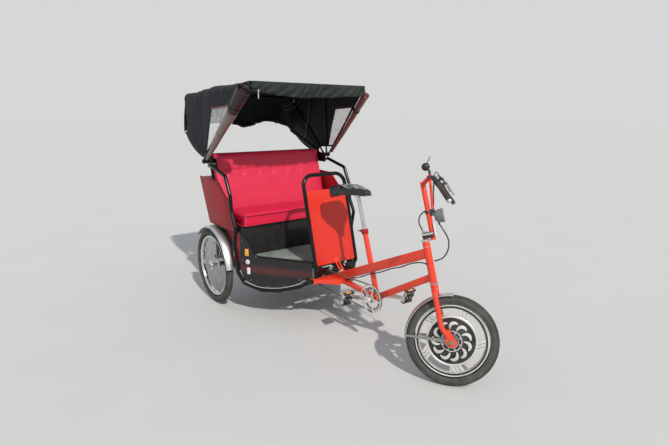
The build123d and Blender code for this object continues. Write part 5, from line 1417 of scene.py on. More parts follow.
class RICKSHAW_OT_saddle(bpy.types.Operator):
    """Wide sprung saddle under a loose crumpled cover"""
    bl_idname = "rickshaw.saddle"
    bl_label = "Saddle"

    def execute(self, context):
        low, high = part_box("saddle")
        base = high.z - SADDLE_DEEP
        made = as_object("saddle_cover", self.cover(low.x, high.x, base), ["saddle"], subdivide=1, angle=180)
        self.crumple(made, low, high, base)
        settle(made, "root", "saddle")
        self.springs()
        return {"FINISHED"}

    def cover(self, tail, nose, base):
        """Closed skin over the saddle's sections."""
        around, steps = 56, 84
        points = []
        for i in range(steps + 1):
            t = i / steps
            for (a, *one), (b, *two) in zip(SADDLE_SECTIONS, SADDLE_SECTIONS[1:]):
                if a <= t <= b:
                    f = (t - a) / (b - a)
                    f = f * f * (3 - 2 * f)
                    half, crown, drop = (m + (n - m) * f for m, n in zip(one, two))
            for angle in angles(around):
                c, s = cos(angle), sin(angle)
                y = half * abs(c) ** 0.62 * (1 if c > 0 else -1)
                if s >= 0:
                    z = crown * s ** 0.62
                else:
                    tuck = max(0.0, -s - 0.25) / 0.75
                    z = -drop * min(1.0, -s * 2.2) + drop * tuck * 0.9
                    y *= 1 - 0.10 * tuck
                points.append(Vector((tail + (nose - tail) * t, y, base + z)))
        return Form(points, between_rows(steps + 1, around))

    def crumple(self, made, low, high, base):
        """Creases the cover's skin."""
        for vertex in made.data.vertices:
            p = vertex.co.copy()
            place = Vector((p.x * 0.8, p.y * 1.3, p.z * 0.5)) * 19
            bend = Vector((noise.noise(place * 0.6), noise.noise(place * 0.6 + Vector((7, 1, 3))), 0)) * 1.4
            crease = 1 - 2 * abs(noise.noise(place + bend)) ** 0.7
            fine = noise.noise(place * 3.1)
            outward = Vector(((p.x - (low.x + high.x) / 2) * 0.25, p.y, (p.z - base + 0.01) * 1.6)).normalized()
            p += outward * (0.0075 * crease + 0.002 * fine - 0.006)
            p.z = min(max(p.z, low.z - 0.004), high.z + 0.004)
            vertex.co = p

    def springs(self):
        """Rails, coil springs and clamp under the saddle, from the top of its post."""
        rails, coils = Form(), Form()
        for side in SIDES:
            rails = rails + tube([(-0.100, side * 0.024, 0.020), (-0.050, side * 0.024, 0.014),
                                  (0.050, side * 0.024, 0.014), (0.110, side * 0.020, 0.022)], 0.0038, 0.02, 12)
            coil = [Vector((-0.090 + 0.0125 * cos(a), side * 0.060 + 0.0125 * sin(a), 0.003 + 0.018 * a / (10 * pi)))
                    for a in [2 * pi * k / 18 for k in range(91)]]
            coils = coils + sweep(coil, circle(0.0021, 8))
        bridge = block(0.018, 0.140, 0.005).shifted(-0.090, 0, 0.0212)
        clamp = disc(0.013, -0.030, 0.030, 0, 28, 0.001).shifted(0, 0, 0.010) \
            + block(0.036, 0.026, 0.012).shifted(0, 0, 0.014) + hexagon(0.007, 0.030, 0.035).shifted(0, 0, 0.010)
        whole = (rails + coils + bridge + clamp).shifted(SADDLE_TOP.x, 0, SADDLE_TOP.z)
        piece("saddle_springs", whole, "chrome", "root", "saddle_rails", "bare_steel")


# Drive
CHAIN_Y = -0.048
CHAINRING_R = 0.086
CHAINRING_TEETH = 42
SPROCKET_R = 0.038
SPROCKET_TEETH = 20
LINK = 0.0127
PEDAL_HANG = 70
PEDAL_LONG, PEDAL_WIDE, PEDAL_DEEP = 0.096, 0.084, 0.026
CRANK_LONG = 0.165


def chain_path():
    """Points of the chain's middle line, in the row frame, one for each pin."""
    ahead = Vector((CRANK.x - REAR_X, 0, CRANK.z - REAR_R))
    reach = ahead.length
    off = (CHAINRING_R - SPROCKET_R) / reach
    roller_gap = 0.0055
    big, small = CHAINRING_R + roller_gap, SPROCKET_R + roller_gap
    tilt = atan2(off, sqrt(1 - off * off))
    path = []
    for i in range(40):
        angle = pi / 2 + tilt - (pi + 2 * tilt) * i / 39
        path.append(Vector((reach + big * cos(angle), 0, big * sin(angle))))
    for i in range(20):
        angle = -(pi / 2 + tilt) - (pi - 2 * tilt) * i / 19
        path.append(Vector((small * cos(angle), 0, small * sin(angle))))
    turn = Matrix.Rotation(-atan2(ahead.z, ahead.x), 4, "Y")
    path = [Matrix.Translation(at(0, CHAIN_Y, REAR_R)) @ turn @ p for p in path]
    lengths = [0.0]
    for a, b in zip(path, path[1:] + path[:1]):
        lengths.append(lengths[-1] + (b - a).length)
    count = round(lengths[-1] / LINK)
    count += count % 2
    pins = []
    for k in range(count):
        goal = lengths[-1] * k / count
        j = max(i for i in range(len(path)) if lengths[i] <= goal + 1e-9)
        t = (goal - lengths[j]) / max(lengths[j + 1] - lengths[j], 1e-9)
        pins.append(path[j].lerp(path[(j + 1) % len(path)], t))
    return pins


def link_plate(low, high):
    """Waisted side plate of a link between two pins, about its middle."""
    outline = []
    for side in (1, -1):
        for k in range(5):
            angle = radians(-90 + 45 * k)
            outline.append((side * (LINK / 2 + 0.0040 * cos(angle)), side * 0.0040 * sin(angle)))
        outline.append((0, side * 0.0030))
    return prism(outline, low, high)


def link(low, high, pin):
    """Two side plates and a pin or roller at each end."""
    pins = pin.shifted(-LINK / 2, 0, 0) + pin.shifted(LINK / 2, 0, 0)
    return link_plate(low, high) + link_plate(-high, -low) + pins


def tooth(foot, tip, wide_foot, wide_tip):
    """One tooth in the chain's line."""
    return prism([(foot, -wide_foot), (tip, -wide_tip), (tip, wide_tip), (foot, wide_foot)],
                 CHAIN_Y - 0.0010, CHAIN_Y + 0.0010)


class RICKSHAW_OT_drive(bpy.types.Operator):
    """Chain, crankset, pedals and rear axle"""
    bl_idname = "rickshaw.drive"
    bl_label = "Drive"

    def execute(self, context):
        pins = chain_path()
        places, turns = [], []
        for a, b in zip(pins, pins[1:] + pins[:1]):
            places.append((a + b) / 2)
            turns.append((0, -atan2((b - a).z, (b - a).x), 0))
        inner = link(0.0022, 0.0032, disc(0.0036, -0.0022, 0.0022, 0, 8))
        outer = link(0.0033, 0.0042, disc(0.0016, -0.0048, 0.0048, 0, 6))
        links = total(spots_of(copy, places[i::2], "steel", turns[i::2]) for i, copy in enumerate((inner, outer)))
        piece("chain_links", links, "steel", "root", "chain", "bare_steel", weld=False)
        self.cranks()
        for side, name in ((1, "left"), (-1, "right")):
            self.pedal(side * 0.128, name)
        self.axle()
        return {"FINISHED"}

    def cranks(self):
        """Chainring with its guard and spider, crank arms and axle."""
        teeth = ring_of(tooth(CHAINRING_R - 0.010, CHAINRING_R - 0.0045, 0.0040, 0.0016), CHAINRING_TEETH, "steel")
        ring = hoop(0.062, CHAINRING_R - 0.008, CHAIN_Y - 0.0018, CHAIN_Y + 0.0018, 84)
        out = CHAIN_Y - 0.010
        guard = lathe([(0.0915, out), (0.0925, out - 0.0022), (0.0980, out - 0.0030), (0.1000, out - 0.0012),
                       (0.0990, out + 0.0002), (0.0915, out + 0.0004)], 120)
        spoke = [(0.012, -0.011), (0.030, -0.0065), (0.078, -0.0045), (0.094, -0.009)]
        spider = ring_of(prism(mirrored_profile(spoke), out - 0.0026, out + 0.0012), 5, "disc", radians(9))
        post = disc(0.005, out, CHAIN_Y + 0.003, 0, 16).shifted(0.070, 0, 0)
        posts = ring_of(post, 5, "disc", radians(9))
        hub = lathe([(0.0101, -0.068), (0.014, -0.068), (0.022, -0.064), (0.024, out - 0.004), (0.026, out - 0.003),
                     (0.026, CHAIN_Y + 0.002), (0.016, CHAIN_Y + 0.004), (0.0101, CHAIN_Y + 0.004)], 40)
        half_turn = [radians(90 + 18 * k) for k in range(11)]
        outline = [(0.017 * cos(a), 0.017 * sin(a)) for a in half_turn] \
            + [(CRANK_LONG + 0.0125 * cos(a - pi), 0.0125 * sin(a - pi)) for a in half_turn]
        arms = Form()
        for side in (1, -1):
            middle, face = side * 0.074, side * 0.0806
            groove = ((0.030, -0.0045), (0.135, -0.0035), (0.135, 0.0035), (0.030, 0.0045))
            arms = arms + prism([(x * side, z) for x, z in outline], middle - 0.0065, middle + 0.0065) \
                + prism([(x * side, z) for x, z in groove], face - 0.0006, face + 0.0006).marked(1) \
                + disc(0.009, *span(side, 0.0800, 0.0830), 0, 24, 0.0005) \
                + disc(0.0058, *span(side, 0.079, 0.171), 0, 16).shifted(side * CRANK_LONG, 0, 0)
        axle = disc(0.0098, -0.078, 0.078, 0, 24)
        body = arms + axle + guard + spider + (hub + posts).marked(1) + (ring + teeth).marked(2)
        piece("crankset_arms", body.turned(-11, "Y").shifted(*CRANK), ["alloy", "disc", "steel"], "crank", "crankset",
              "bare_steel", bevel=0.0008)

    def pedal(self, middle, name):
        """Caged pedal, hanging nose down, with studs and reflectors."""
        pin = Vector(JOINTS[name + "_pedal_spin"]["pos_m"])
        body = Form()
        for end in SIDES:
            bar = prism(rounded_rectangle(0.008, PEDAL_DEEP, 0.002, 2), -PEDAL_WIDE / 2, PEDAL_WIDE / 2)
            rail = block(PEDAL_LONG - 0.006, 0.007, PEDAL_DEEP * 0.8)
            body = body + bar.shifted(end * (PEDAL_LONG / 2 - 0.004), middle, 0) \
                + rail.shifted(0, middle + end * (PEDAL_WIDE / 2 - 0.004), 0).marked(2)
        for z in (0.009, -0.009):
            body = body + block(PEDAL_LONG * 0.9, 0.010, 0.006).shifted(0, middle, z)
        body = body + lathe([(0.0062, -PEDAL_WIDE / 2), (0.0125, -PEDAL_WIDE / 2), (0.0105, 0),
                             (0.0125, PEDAL_WIDE / 2), (0.0062, PEDAL_WIDE / 2)], 24).shifted(0, middle, 0)
        studs = [(end * (PEDAL_LONG / 2 - 0.004), middle - PEDAL_WIDE / 2 + PEDAL_WIDE * (k + 0.5) / 7,
                  up * PEDAL_DEEP / 2) for end in SIDES for k in range(7) for up in SIDES]
        lamps = total(block(0.002, 0.044, 0.014).shifted(end * (PEDAL_LONG / 2 + 0.0005), middle, 0) for end in SIDES)
        body = body + total(block(0.006, 0.005, 0.003).shifted(*place) for place in studs) + lamps.marked(1)
        piece("pedal_cage_" + name, body.turned(-PEDAL_HANG, "Y").shifted(pin.x, 0, pin.z),
              ["plastic", "amber", "alloy"], name + "_pedal", "pedal_" + name, "black_plastic", bevel=0.0008)

    def axle(self):
        """Axle tube with its ribbed case, sprocket, ends and nuts."""
        inner, tip = HALF_TRACK - 0.040, HALF_TRACK + 0.052
        case = lathe([(0.015, -0.020), (0.030, -0.020), (0.036, -0.014), (0.045, -0.010), (0.045, 0.050),
                      (0.036, 0.054), (0.030, 0.060), (0.015, 0.060)], 48)
        ribs = total(disc(0.0475, y, y + 0.003, 0.03, 48) for y in (0.0, 0.018, 0.036))
        sprocket = ring_of(tooth(SPROCKET_R - 0.003, SPROCKET_R + 0.006, 0.0042, 0.0014), SPROCKET_TEETH, "steel") \
            + disc(SPROCKET_R - 0.001, CHAIN_Y - 0.0015, CHAIN_Y + 0.0015, 0, 60)
        ends = total(disc(0.0098, *span(side, inner, tip), 0, 24, 0.001)
                     + hexagon(0.0150, *span(side, tip - 0.012, tip - 0.003)) for side in SIDES)
        body = disc(0.020, -inner, inner, 0, 36, 0.001) + (case + ribs).marked(1) + (sprocket + ends).marked(2)
        piece("rear_axle_tube", body.shifted(*at(0, 0, REAR_R)), ["chassis", "disc", "steel"], "root", "rear_axle",
              "bare_steel", bevel=0.0006)


# Cab
PANEL_Y = 0.548
ARCH_R = 0.345
BULKHEAD_BOLT_ROWS = (0.490, 0.728, 0.966)
# Columns: distance from the rear axle, height
SIDE_BOLTS = ((-0.225, 0.985), (-0.10, 0.985), (0.06, 0.980), (0.19, 0.905), (0.262, 0.858), (0.285, 0.77),
              (0.330, 0.668), (0.20, 0.668), (0.05, 0.668), (-0.08, 0.668), (-0.13, 0.77), (-0.185, 0.88))
# Columns: along the skirt, height
SKIRT_BOLTS = ((0.040, 0.600), (0.040, 0.450), (0.110, 0.300), (0.240, 0.262), (0.380, 0.290), (0.500, 0.345))
# Points of the bright strip along each skirt's lower edge, a painted highlight of the sun on its glossy black edge
SKIRT_HIGHLIGHT_LINE = ((0.060, 0.2865), (0.110, 0.2645), (0.190, 0.2480), (0.330, 0.2600), (0.420, 0.2855), (0.500, 0.3125),
              (0.535, 0.3465))
# Columns: along the skirt, height, outline, number of the finish
REFLECTORS = ((0.082, 0.514, rounded_rectangle(0.036, 0.060, 0.006), 1), (0.088, 0.441, circle(0.020, 36), 2),
              (0.094, 0.372, rounded_rectangle(0.030, 0.058, 0.004), 3))
# Columns: node, finish, slot, bevel; a bent tube has none
PLAIN_CAB_PIECES = (
    ("chassis", "chassis", "black_tube", 0.0012), ("entry_hoops", "black", "black_tube", 0.0),
    ("bulkhead_hoop", "black", "black_tube", 0.0), ("wheel_walls", "dull", "black_sheet", 0.001),
    ("seat_box", "dull", "black_sheet", 0.001), ("battery", "plastic", "black_plastic", 0.004),
    ("back_board", "dull", "black_sheet", 0.0012), ("hood_pivots", "black", "black_tube", 0.001))


def skirt_at(side, along, z, out=0.0):
    """Point on the outside of an entrance skirt and the way out there."""
    start, end = Vector((0.392, 0.545, 0)), Vector((0.860, 0.214, 0))
    way = (end - start).normalized()
    normal = Vector((-way.y, way.x, 0))
    p = start + way * along + normal * out
    return at(p.x, side * p.y, z), Vector((normal.x, side * normal.y, 0))


class RICKSHAW_OT_cab(bpy.types.Operator):
    """Cab panels, hoops, chassis, mudguards and lamps"""
    bl_idname = "rickshaw.cab"
    bl_label = "Cab"

    def execute(self, context):
        radius = context.scene.rickshaw_sizes.rivet_radius
        for node, finish, slot, bevel in PLAIN_CAB_PIECES:
            dressed(node, finish, slot, bevel=bevel, angle=SHARP_ANGLE if bevel else TUBE_ANGLE)
        out = Vector((cos(BULKHEAD_LEAN), 0, sin(BULKHEAD_LEAN)))
        places = [at(bulkhead_x(z) + 0.0042 / cos(BULKHEAD_LEAN), side * 0.160, z)
                  for z in BULKHEAD_BOLT_ROWS for side in SIDES]
        bolts = bolt_row(places, out, radius) + bolt_row([p - out * 0.0084 for p in places], -out, radius)
        dressed("bulkhead_panel", "bulkhead", "red_panel", bolts.marked(1), 0.0015, ["steel"])
        side_bolts = total(bolt_row([at(x, side * PANEL_Y, z) for x, z in SIDE_BOLTS], (0, side, 0), radius)
                           for side in SIDES)
        dressed("side_panels", "cab", "red_panel", side_bolts.marked(1), 0.0015, ["steel"])
        dressed("rear_panel", "cab", "red_panel", bevel=0.0015)
        self.arch_skins()
        self.skirts(radius)
        dressed("floor_pan", "dull", "black_sheet", bevel=0.001)
        mat = [(0.160, -0.470), (0.440, -0.466), (0.850, -0.182), (0.850, 0.182), (0.440, 0.466), (0.160, 0.470)]
        piece("floor_mat", flat_prism([(at(x, 0, 0).x, y) for x, y in mat], 0.4524, 0.4562), "mat", "root", (),
              "floor_mat", bevel=0.001)
        self.mudguards()
        self.reflectors()
        self.tail_lamps()
        return {"FINISHED"}

    def arch_skins(self):
        """Red skin on the outside of each wheel wall, cut round the tyre."""
        outline = [(0.082, 0.640), (0.370, 0.640), (0.370, 0.412)]
        for k in range(13):
            angle = radians(18.07 + (76.25 - 18.07) * k / 12)
            outline.append((ARCH_R * cos(angle), REAR_R + ARCH_R * sin(angle)))
        skins = prism([(at(x, 0, 0).x, z) for x, z in outline], 0.5083, 0.5100)
        piece("arch_skins", skins.both(), "cab", "root", (), "red_panel")

    def skirts(self, radius):
        """Skirts beside the entrances with their bolts, and a thin bright alloy strip along each lower edge as a
        painted highlight of the sun.
        """
        bolts, trim = Form(), Form()
        for side in SIDES:
            for place, normal in [skirt_at(side, along, z, 0.0025) for along, z in SKIRT_BOLTS]:
                bolts = bolts + bolt_row([place], normal, radius)
            trim = trim + sweep(spline_path([skirt_at(side, *place, 0.0045)[0] for place in SKIRT_HIGHLIGHT_LINE]),
                                circle(0.0032, 8))
        dressed("skirts", "skirt", "black_sheet", bolts.marked(1), 0.0012, ["steel"])
        # Painted highlight: a bright alloy strip where the sun glints on the skirt's black edge
        piece("skirt_edge_trim", trim, "alloy", "root", (), "bright_chrome")

    def mudguards(self):
        """Rear mudguards and their brackets."""
        guard = guard_form(0.329, 0.039, 0.013, 2.4, 10, 0.0021, 0.0132, 200, 8, 140)
        guards = total(guard.shifted(*at(0, side * HALF_TRACK, REAR_R)) for side in SIDES)
        piece("rear_guard_strips", guards, "guard", "root", (), "bright_chrome")
        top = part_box("rear_mudguards")[1].z
        bracket = block(0.050, 0.012, 0.004).shifted(0, 0, -0.002)
        for x in (-0.020, 0.020):
            bracket = bracket + block(0.008, 0.006, 0.036).shifted(x, 0, -0.018)
        brackets = total(bracket.shifted(*at(0, side * (HALF_TRACK - 0.020), top)) for side in SIDES)
        piece("rear_guard_brackets", brackets, "steel", "root", "rear_mudguards", "bare_steel", bevel=0.0005)

    def reflectors(self):
        """Three reflectors on each skirt."""
        plates = Form()
        for side in SIDES:
            for along, z, shape, mark in REFLECTORS:
                place, normal = skirt_at(side, along, z, 0.0028)
                face = prism([(a * 0.86, b * 0.90) for a, b in shape], 0.0045, 0.0062)
                one = prism(shape, 0, 0.0045) + face.marked(mark)
                if mark == 2:
                    one = one + hoop(0.0065, 0.0085, 0.0062, 0.0070, 28)
                plates = plates + one.moved(facing(normal, place))
        piece("side_reflector_set", plates, ["plastic", "amber", "clear_lens", "white"], "root", "side_reflectors",
              "amber_lens", bevel=0.0008)

    def tail_lamps(self):
        """Round red lamps on the sloping rear panel."""
        lean = atan2(0.163, 0.351)
        unit = lathe([(AXIS_GAP, 0), (0.034, 0), (0.034, 0.012), (0.0325, 0.0145), (AXIS_GAP, 0.0145)], 48) \
            + lathe([(AXIS_GAP, 0.0145), (0.0315, 0.0145), (0.0300, 0.021), (0.022, 0.0255),
                     (AXIS_GAP, 0.0262)], 48).marked(1)
        out = (-cos(lean), 0, -sin(lean))
        both = total(unit.moved(facing(out, at(-0.1693, side * 0.430, 0.8275))) for side in SIDES)
        piece("tail_lamp_pair", both, ["plastic", "red_lens"], "root", "tail_lamps", "red_lens", bevel=0.0005)


# Seat
BACKREST_LEAN = radians(16)
BUTTON_Z = 1.035
BUTTONS = (-0.42, -0.28, -0.14, 0.0, 0.14, 0.28, 0.42)


def backrest_x(z):
    """Where the back of the leaning backrest stands at a height."""
    return REAR_X - 0.125 + (1.215 - z) * tan(BACKREST_LEAN)


class RICKSHAW_OT_seat(bpy.types.Operator):
    """Seat cushion and backrest, blown up as cloth, with piping and buttons"""
    bl_idname = "rickshaw.seat"
    bl_label = "Seat"

    def execute(self, context):
        for node, cap in (("seat_cushion", 0.010), ("backrest", 0.008)):
            made = as_object(node + "_vinyl", self.core(node), ["seat"])
            inflate(made, cap)
            self.press(made, node)
            smooth(made.data, 180)
            settle(made, "root", node)
        self.trim()
        return {"FINISHED"}

    def core(self, node):
        """The node's shape, slightly smaller."""
        form = cad_form(node)
        low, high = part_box(node)
        middle = (low + high) / 2
        shrink = [1 - 0.012 / (high[i] - low[i]) for i in range(3)]
        return Form([middle + Vector(((p[i] - middle[i]) * shrink[i] for i in range(3))) for p in form.points],
                    form.faces)

    def press(self, made, node):
        """Keeps the pad inside its own space and presses in its buttons and seams."""
        low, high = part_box(node)
        for vertex in made.data.vertices:
            p = vertex.co
            if node == "seat_cushion":
                p.z = max(p.z, low.z + 0.0005)
                if p.z > (low.z + high.z) / 2:
                    p.z -= 0.006 * bell_curve(p.y, 0.008)
                continue
            back = backrest_x(p.z) + 0.0008
            p.x = max(p.x, back)
            if p.x > back + 0.03:
                p.x -= 0.007 * bell_curve(p.z - 1.068, 0.007)
                for y in BUTTONS:
                    p.x -= 0.008 * bell_curve(hypot(p.y - y, p.z - BUTTON_Z), 0.012)

    def trim(self):
        """Piping round the pads and buttons on the backrest."""
        low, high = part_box("seat_cushion")
        x0, x1, y1, z1 = low.x + 0.012, high.x - 0.004, high.y - 0.001, high.z - 0.012
        path = rounded([(x0, -y1, z1), (x1, -y1, z1), (x1, y1, z1), (x0, y1, z1)], 0.03)
        low_path = [Vector((p.x, p.y, low.z + 0.016)) for p in path]
        button = lathe([(AXIS_GAP, 0.004), (0.006, 0.0032), (0.0095, 0.0005), (0.0095, -0.001),
                        (AXIS_GAP, -0.001)], 16)
        out = (cos(BACKREST_LEAN), 0, sin(BACKREST_LEAN))
        front = backrest_x(BUTTON_Z) + 0.056
        buttons = total(button.moved(facing(out, (front, y, BUTTON_Z))) for y in BUTTONS)
        piping = sweep(path, circle(0.0038, 8)) + sweep(low_path, circle(0.0038, 8))
        piece("seat_trim", piping + buttons, "seat", "root", (), "seat_vinyl")


def bell_curve(distance, width):
    """1 at no distance, falling off past a width."""
    return 1 / (1 + (distance / width) ** 2)


def inflate(made, cap):
    """Remeshes a pad and blows it up as cloth, letting no point move further than cap."""
    scene = bpy.context.scene
    remesh = made.modifiers.new("voxels", "REMESH")
    remesh.mode = "VOXEL"
    remesh.voxel_size = 0.009
    old, made.data = made.data, evaluated_mesh(made)
    bpy.data.meshes.remove(old)
    rest = [v.co.copy() for v in made.data.vertices]
    cloth = made.modifiers.new("cloth", "CLOTH")
    cloth.settings.effector_weights.gravity = 0
    cloth.settings.use_pressure = True
    cloth.settings.uniform_pressure_force = 4
    cloth.settings.quality = 4
    cloth.point_cache.frame_start = 1
    cloth.point_cache.frame_end = 20
    for i in range(1, 21):
        scene.frame_set(i)
    blown = evaluated_mesh(made)
    for vertex, start in zip(blown.vertices, rest):
        move = vertex.co - start
        if move.length > cap:
            vertex.co = start + move.normalized() * cap
    old, made.data = made.data, blown
    bpy.data.meshes.remove(old)
    if not blown.materials:
        blown.materials.append(paints["seat"])
    scene.frame_set(1)
    soft = made.modifiers.new("round", "SUBSURF")
    soft.levels = soft.render_levels = 1


# Hood
TOP_HALF = 0.530
BOW_R = 0.008
CLOTH_GAP = 0.0045
KEEP = 0.13
# Columns: body, degrees above forward, reach from the pivot, half width at the pivot
BOWS = {"front": ("hood_front", 45.5, 0.806, 0.603), "middle": ("hood_middle", 88.0, 0.556, 0.581),
        "rear": ("hood_rear", 135.5, 0.726, 0.559), "base": ("root", 160.0, 0.566, 0.537)}
ROLL_START = 0.060
ROLL_STRAP = 0.75
ROLL_OUT = 0.020
BLEND_REACH = 0.35
REAR_SIDE_DROP = 0.046
# Rows of the front sheet between which its windows lie
WINDOW_ROWS = {"right": (2, 21), "left": (2, 16)}
LEG_STEPS = 30
ARC_STEPS = 8
BAR_STEPS = 60
BEND = 0.060
BACK_HALF = 0.536
BACK_OUT = BOW_R + CLOTH_GAP + 0.0016
BACK_WAY = Vector((-cos(radians(4)), 0, sin(radians(4))))
# Columns: across, drop of the rear sheet's hem below the bow
HEM = ((-0.536, 0.308), (-0.47, 0.262), (-0.36, 0.230), (-0.25, 0.222), (-0.141, 0.228), (-0.059, 0.240),
       (0.01, 0.264), (0.083, 0.254), (0.156, 0.229), (0.232, 0.211), (0.307, 0.216), (0.385, 0.231), (0.452, 0.251),
       (0.509, 0.281), (0.536, 0.308))
CURTAIN_R = 0.020
ROLL_TIES = (-0.36, -0.12, 0.12, 0.36)
VALANCE_LOW, VALANCE_WIDE = -0.480, 1.005
# Columns: across, height of the valance's lower edge
VALANCE_EDGE = ((-0.480, 1.668), (-0.401, 1.659), (-0.25, 1.644), (-0.09, 1.632), (0.12, 1.637), (0.327, 1.648),
                (0.480, 1.654), (0.525, 1.660))
# Columns: name, side, radius at the foot and the top, top's reach, turns, finishes from the foot up
ROLLS = (("right", -1, 0.015, 0.054, 0.806, 5.0, ["curtain", "curtain_dark"]),
         ("left", 1, 0.012, 0.034, 0.762, 4.0, ["curtain_brown", "curtain_brown"]))


def between(table, across):
    """Value of a table of pairs at a place, eased from each pair to the next."""
    for (y0, z0), (y1, z1) in zip(table, table[1:]):
        if across <= y1 + 1e-9:
            f = max(0.0, (across - y0) / (y1 - y0))
            return z0 + (z1 - z0) * f * f * (3 - 2 * f)
    return table[-1][1]


def bow_way(name):
    """Direction in which a bow stands up from the pivots."""
    turn = radians(BOWS[name][1])
    return Vector((cos(turn), 0, sin(turn)))


def bow_tip(name):
    """Middle of a bow's crossbar."""
    return PIVOT + bow_way(name) * BOWS[name][2]


def leg_point(name):
    """Point along a bow's leg, BLEND_REACH from the pivots."""
    return PIVOT + bow_way(name) * BLEND_REACH


def back_line(u):
    """Where the rear sheet starts on the bow and ends at its hem, u running from -1 on the right to 1."""
    y = u * BACK_HALF
    corner = min(BEND, max(0.0, abs(y) - (BACK_HALF - BEND)))
    lowered = BEND - sqrt(BEND * BEND - corner * corner)
    place = bow_tip("rear") + Vector((0, y, 0))
    hem = between(HEM, y) + 0.004 * noise.noise(Vector((y * 9, 0, 3)))
    return (place - bow_way("rear") * lowered,
            place + BACK_WAY * BACK_OUT + BACK_WAY.cross(Vector((0, 1, 0))) * hem)


def bow_line(name):
    """Points up one leg of a bow, over its crossbar and down the other."""
    reach, foot = BOWS[name][2:]
    leg_top = 1 - BEND / reach

    def half_at(share):
        return TOP_HALF * share + foot * (1 - share)
    inner = half_at(leg_top) - BEND
    flat = []
    for i in range(LEG_STEPS + 1):
        share = KEEP + (leg_top - KEEP) * i / LEG_STEPS
        flat.append((share * reach, -half_at(share)))
    for i in range(1, ARC_STEPS):
        a = pi / 2 * i / ARC_STEPS
        flat.append((reach - BEND + BEND * sin(a), -(inner + BEND * cos(a))))
    flat += [(reach, -inner + 2 * inner * i / BAR_STEPS) for i in range(BAR_STEPS + 1)]
    flat += [(r, -y) for r, y in reversed(flat[:LEG_STEPS + ARC_STEPS])]
    return [PIVOT + bow_way(name) * r + Vector((0, y, 0)) for r, y in flat]


def hood_sheet(first, last, sag, rows=26):
    """Grid between two bows, outside both, with sag between them and folds. Returns rows of points."""
    a, b = bow_line(first), bow_line(last)
    lines = [[p.lerp(q, j / rows) for p, q in zip(a, b)] for j in range(rows + 1)]
    result = []
    count = len(a)
    for j, line in enumerate(lines):
        v = j / rows
        row = []
        for i, p in enumerate(line):
            along = line[min(i + 1, count - 1)] - line[max(i - 1, 0)]
            across = lines[min(j + 1, rows)][i] - lines[max(j - 1, 0)][i]
            normal = along.cross(across).normalized()
            if normal.dot(p - (PIVOT + Vector((0, 0, 0.25)))) < 0:
                normal = -normal
            share = abs(i / (count - 1) * 2 - 1)
            slack = 4 * v * (1 - v)
            fold = noise.noise(Vector((p.x * 5, p.y * 5, p.z * 5))) * 0.007
            fold += (abs(noise.noise(Vector((v * 7 + 3, i * 0.045, 1.7)))) - 0.25) * 0.010
            row.append(p + normal * (BOW_R + CLOTH_GAP + slack * (fold - sag * (0.35 + 0.65 * share))))
        result.append(row)
    return result


def grid_form(rows, mark=None):
    """Grid; mark(i, j) numbers the finish of the face at column i, row j, or None leaves it out."""
    count = len(rows[0])
    points = [p for row in rows for p in row]
    faces = between_rows(len(rows), count, wrapped=False)
    marks = [mark(n % (count - 1), n // (count - 1)) if mark else 0 for n in range(len(faces))]
    kept = [(face, kind) for face, kind in zip(faces, marks) if kind is not None]
    return Form(points, [face for face, kind in kept], [kind for face, kind in kept])


def area_of(form):
    """Area of a form's faces."""
    result = 0.0
    for face in form.faces:
        p = [form.points[i] for i in face]
        for k in range(1, len(p) - 1):
            result += (p[k] - p[0]).cross(p[k + 1] - p[0]).length / 2
    return result


def sheet_piece(name, form, finishes, body, replaces, slot, flat, thickness=0.0014, outside=False, **told):
    """Smooth thin sheet; flat, its width laid flat and its slack, is not used; outside turns it away from the pivots.
    """
    mesh = mesh_of(name, form, finishes)
    work = bmesh.new()
    work.from_mesh(mesh)
    bmesh.ops.delete(work, geom=[v for v in work.verts if not v.link_faces], context="VERTS")
    bmesh.ops.remove_doubles(work, verts=work.verts, dist=1e-6)
    bmesh.ops.recalc_face_normals(work, faces=work.faces)
    if outside and sum(f.normal.dot(f.calc_center_median() - PIVOT) for f in work.faces) < 0:
        bmesh.ops.reverse_faces(work, faces=work.faces)
    for face in work.faces:
        face.smooth = True
    work.to_mesh(mesh)
    work.free()
    made = in_scene(name, mesh)
    solid = made.modifiers.new("thickness", "SOLIDIFY")
    solid.thickness = thickness
    solid.offset = 0
    settle(made, body, replaces)
    area = area_of(form)
    return made


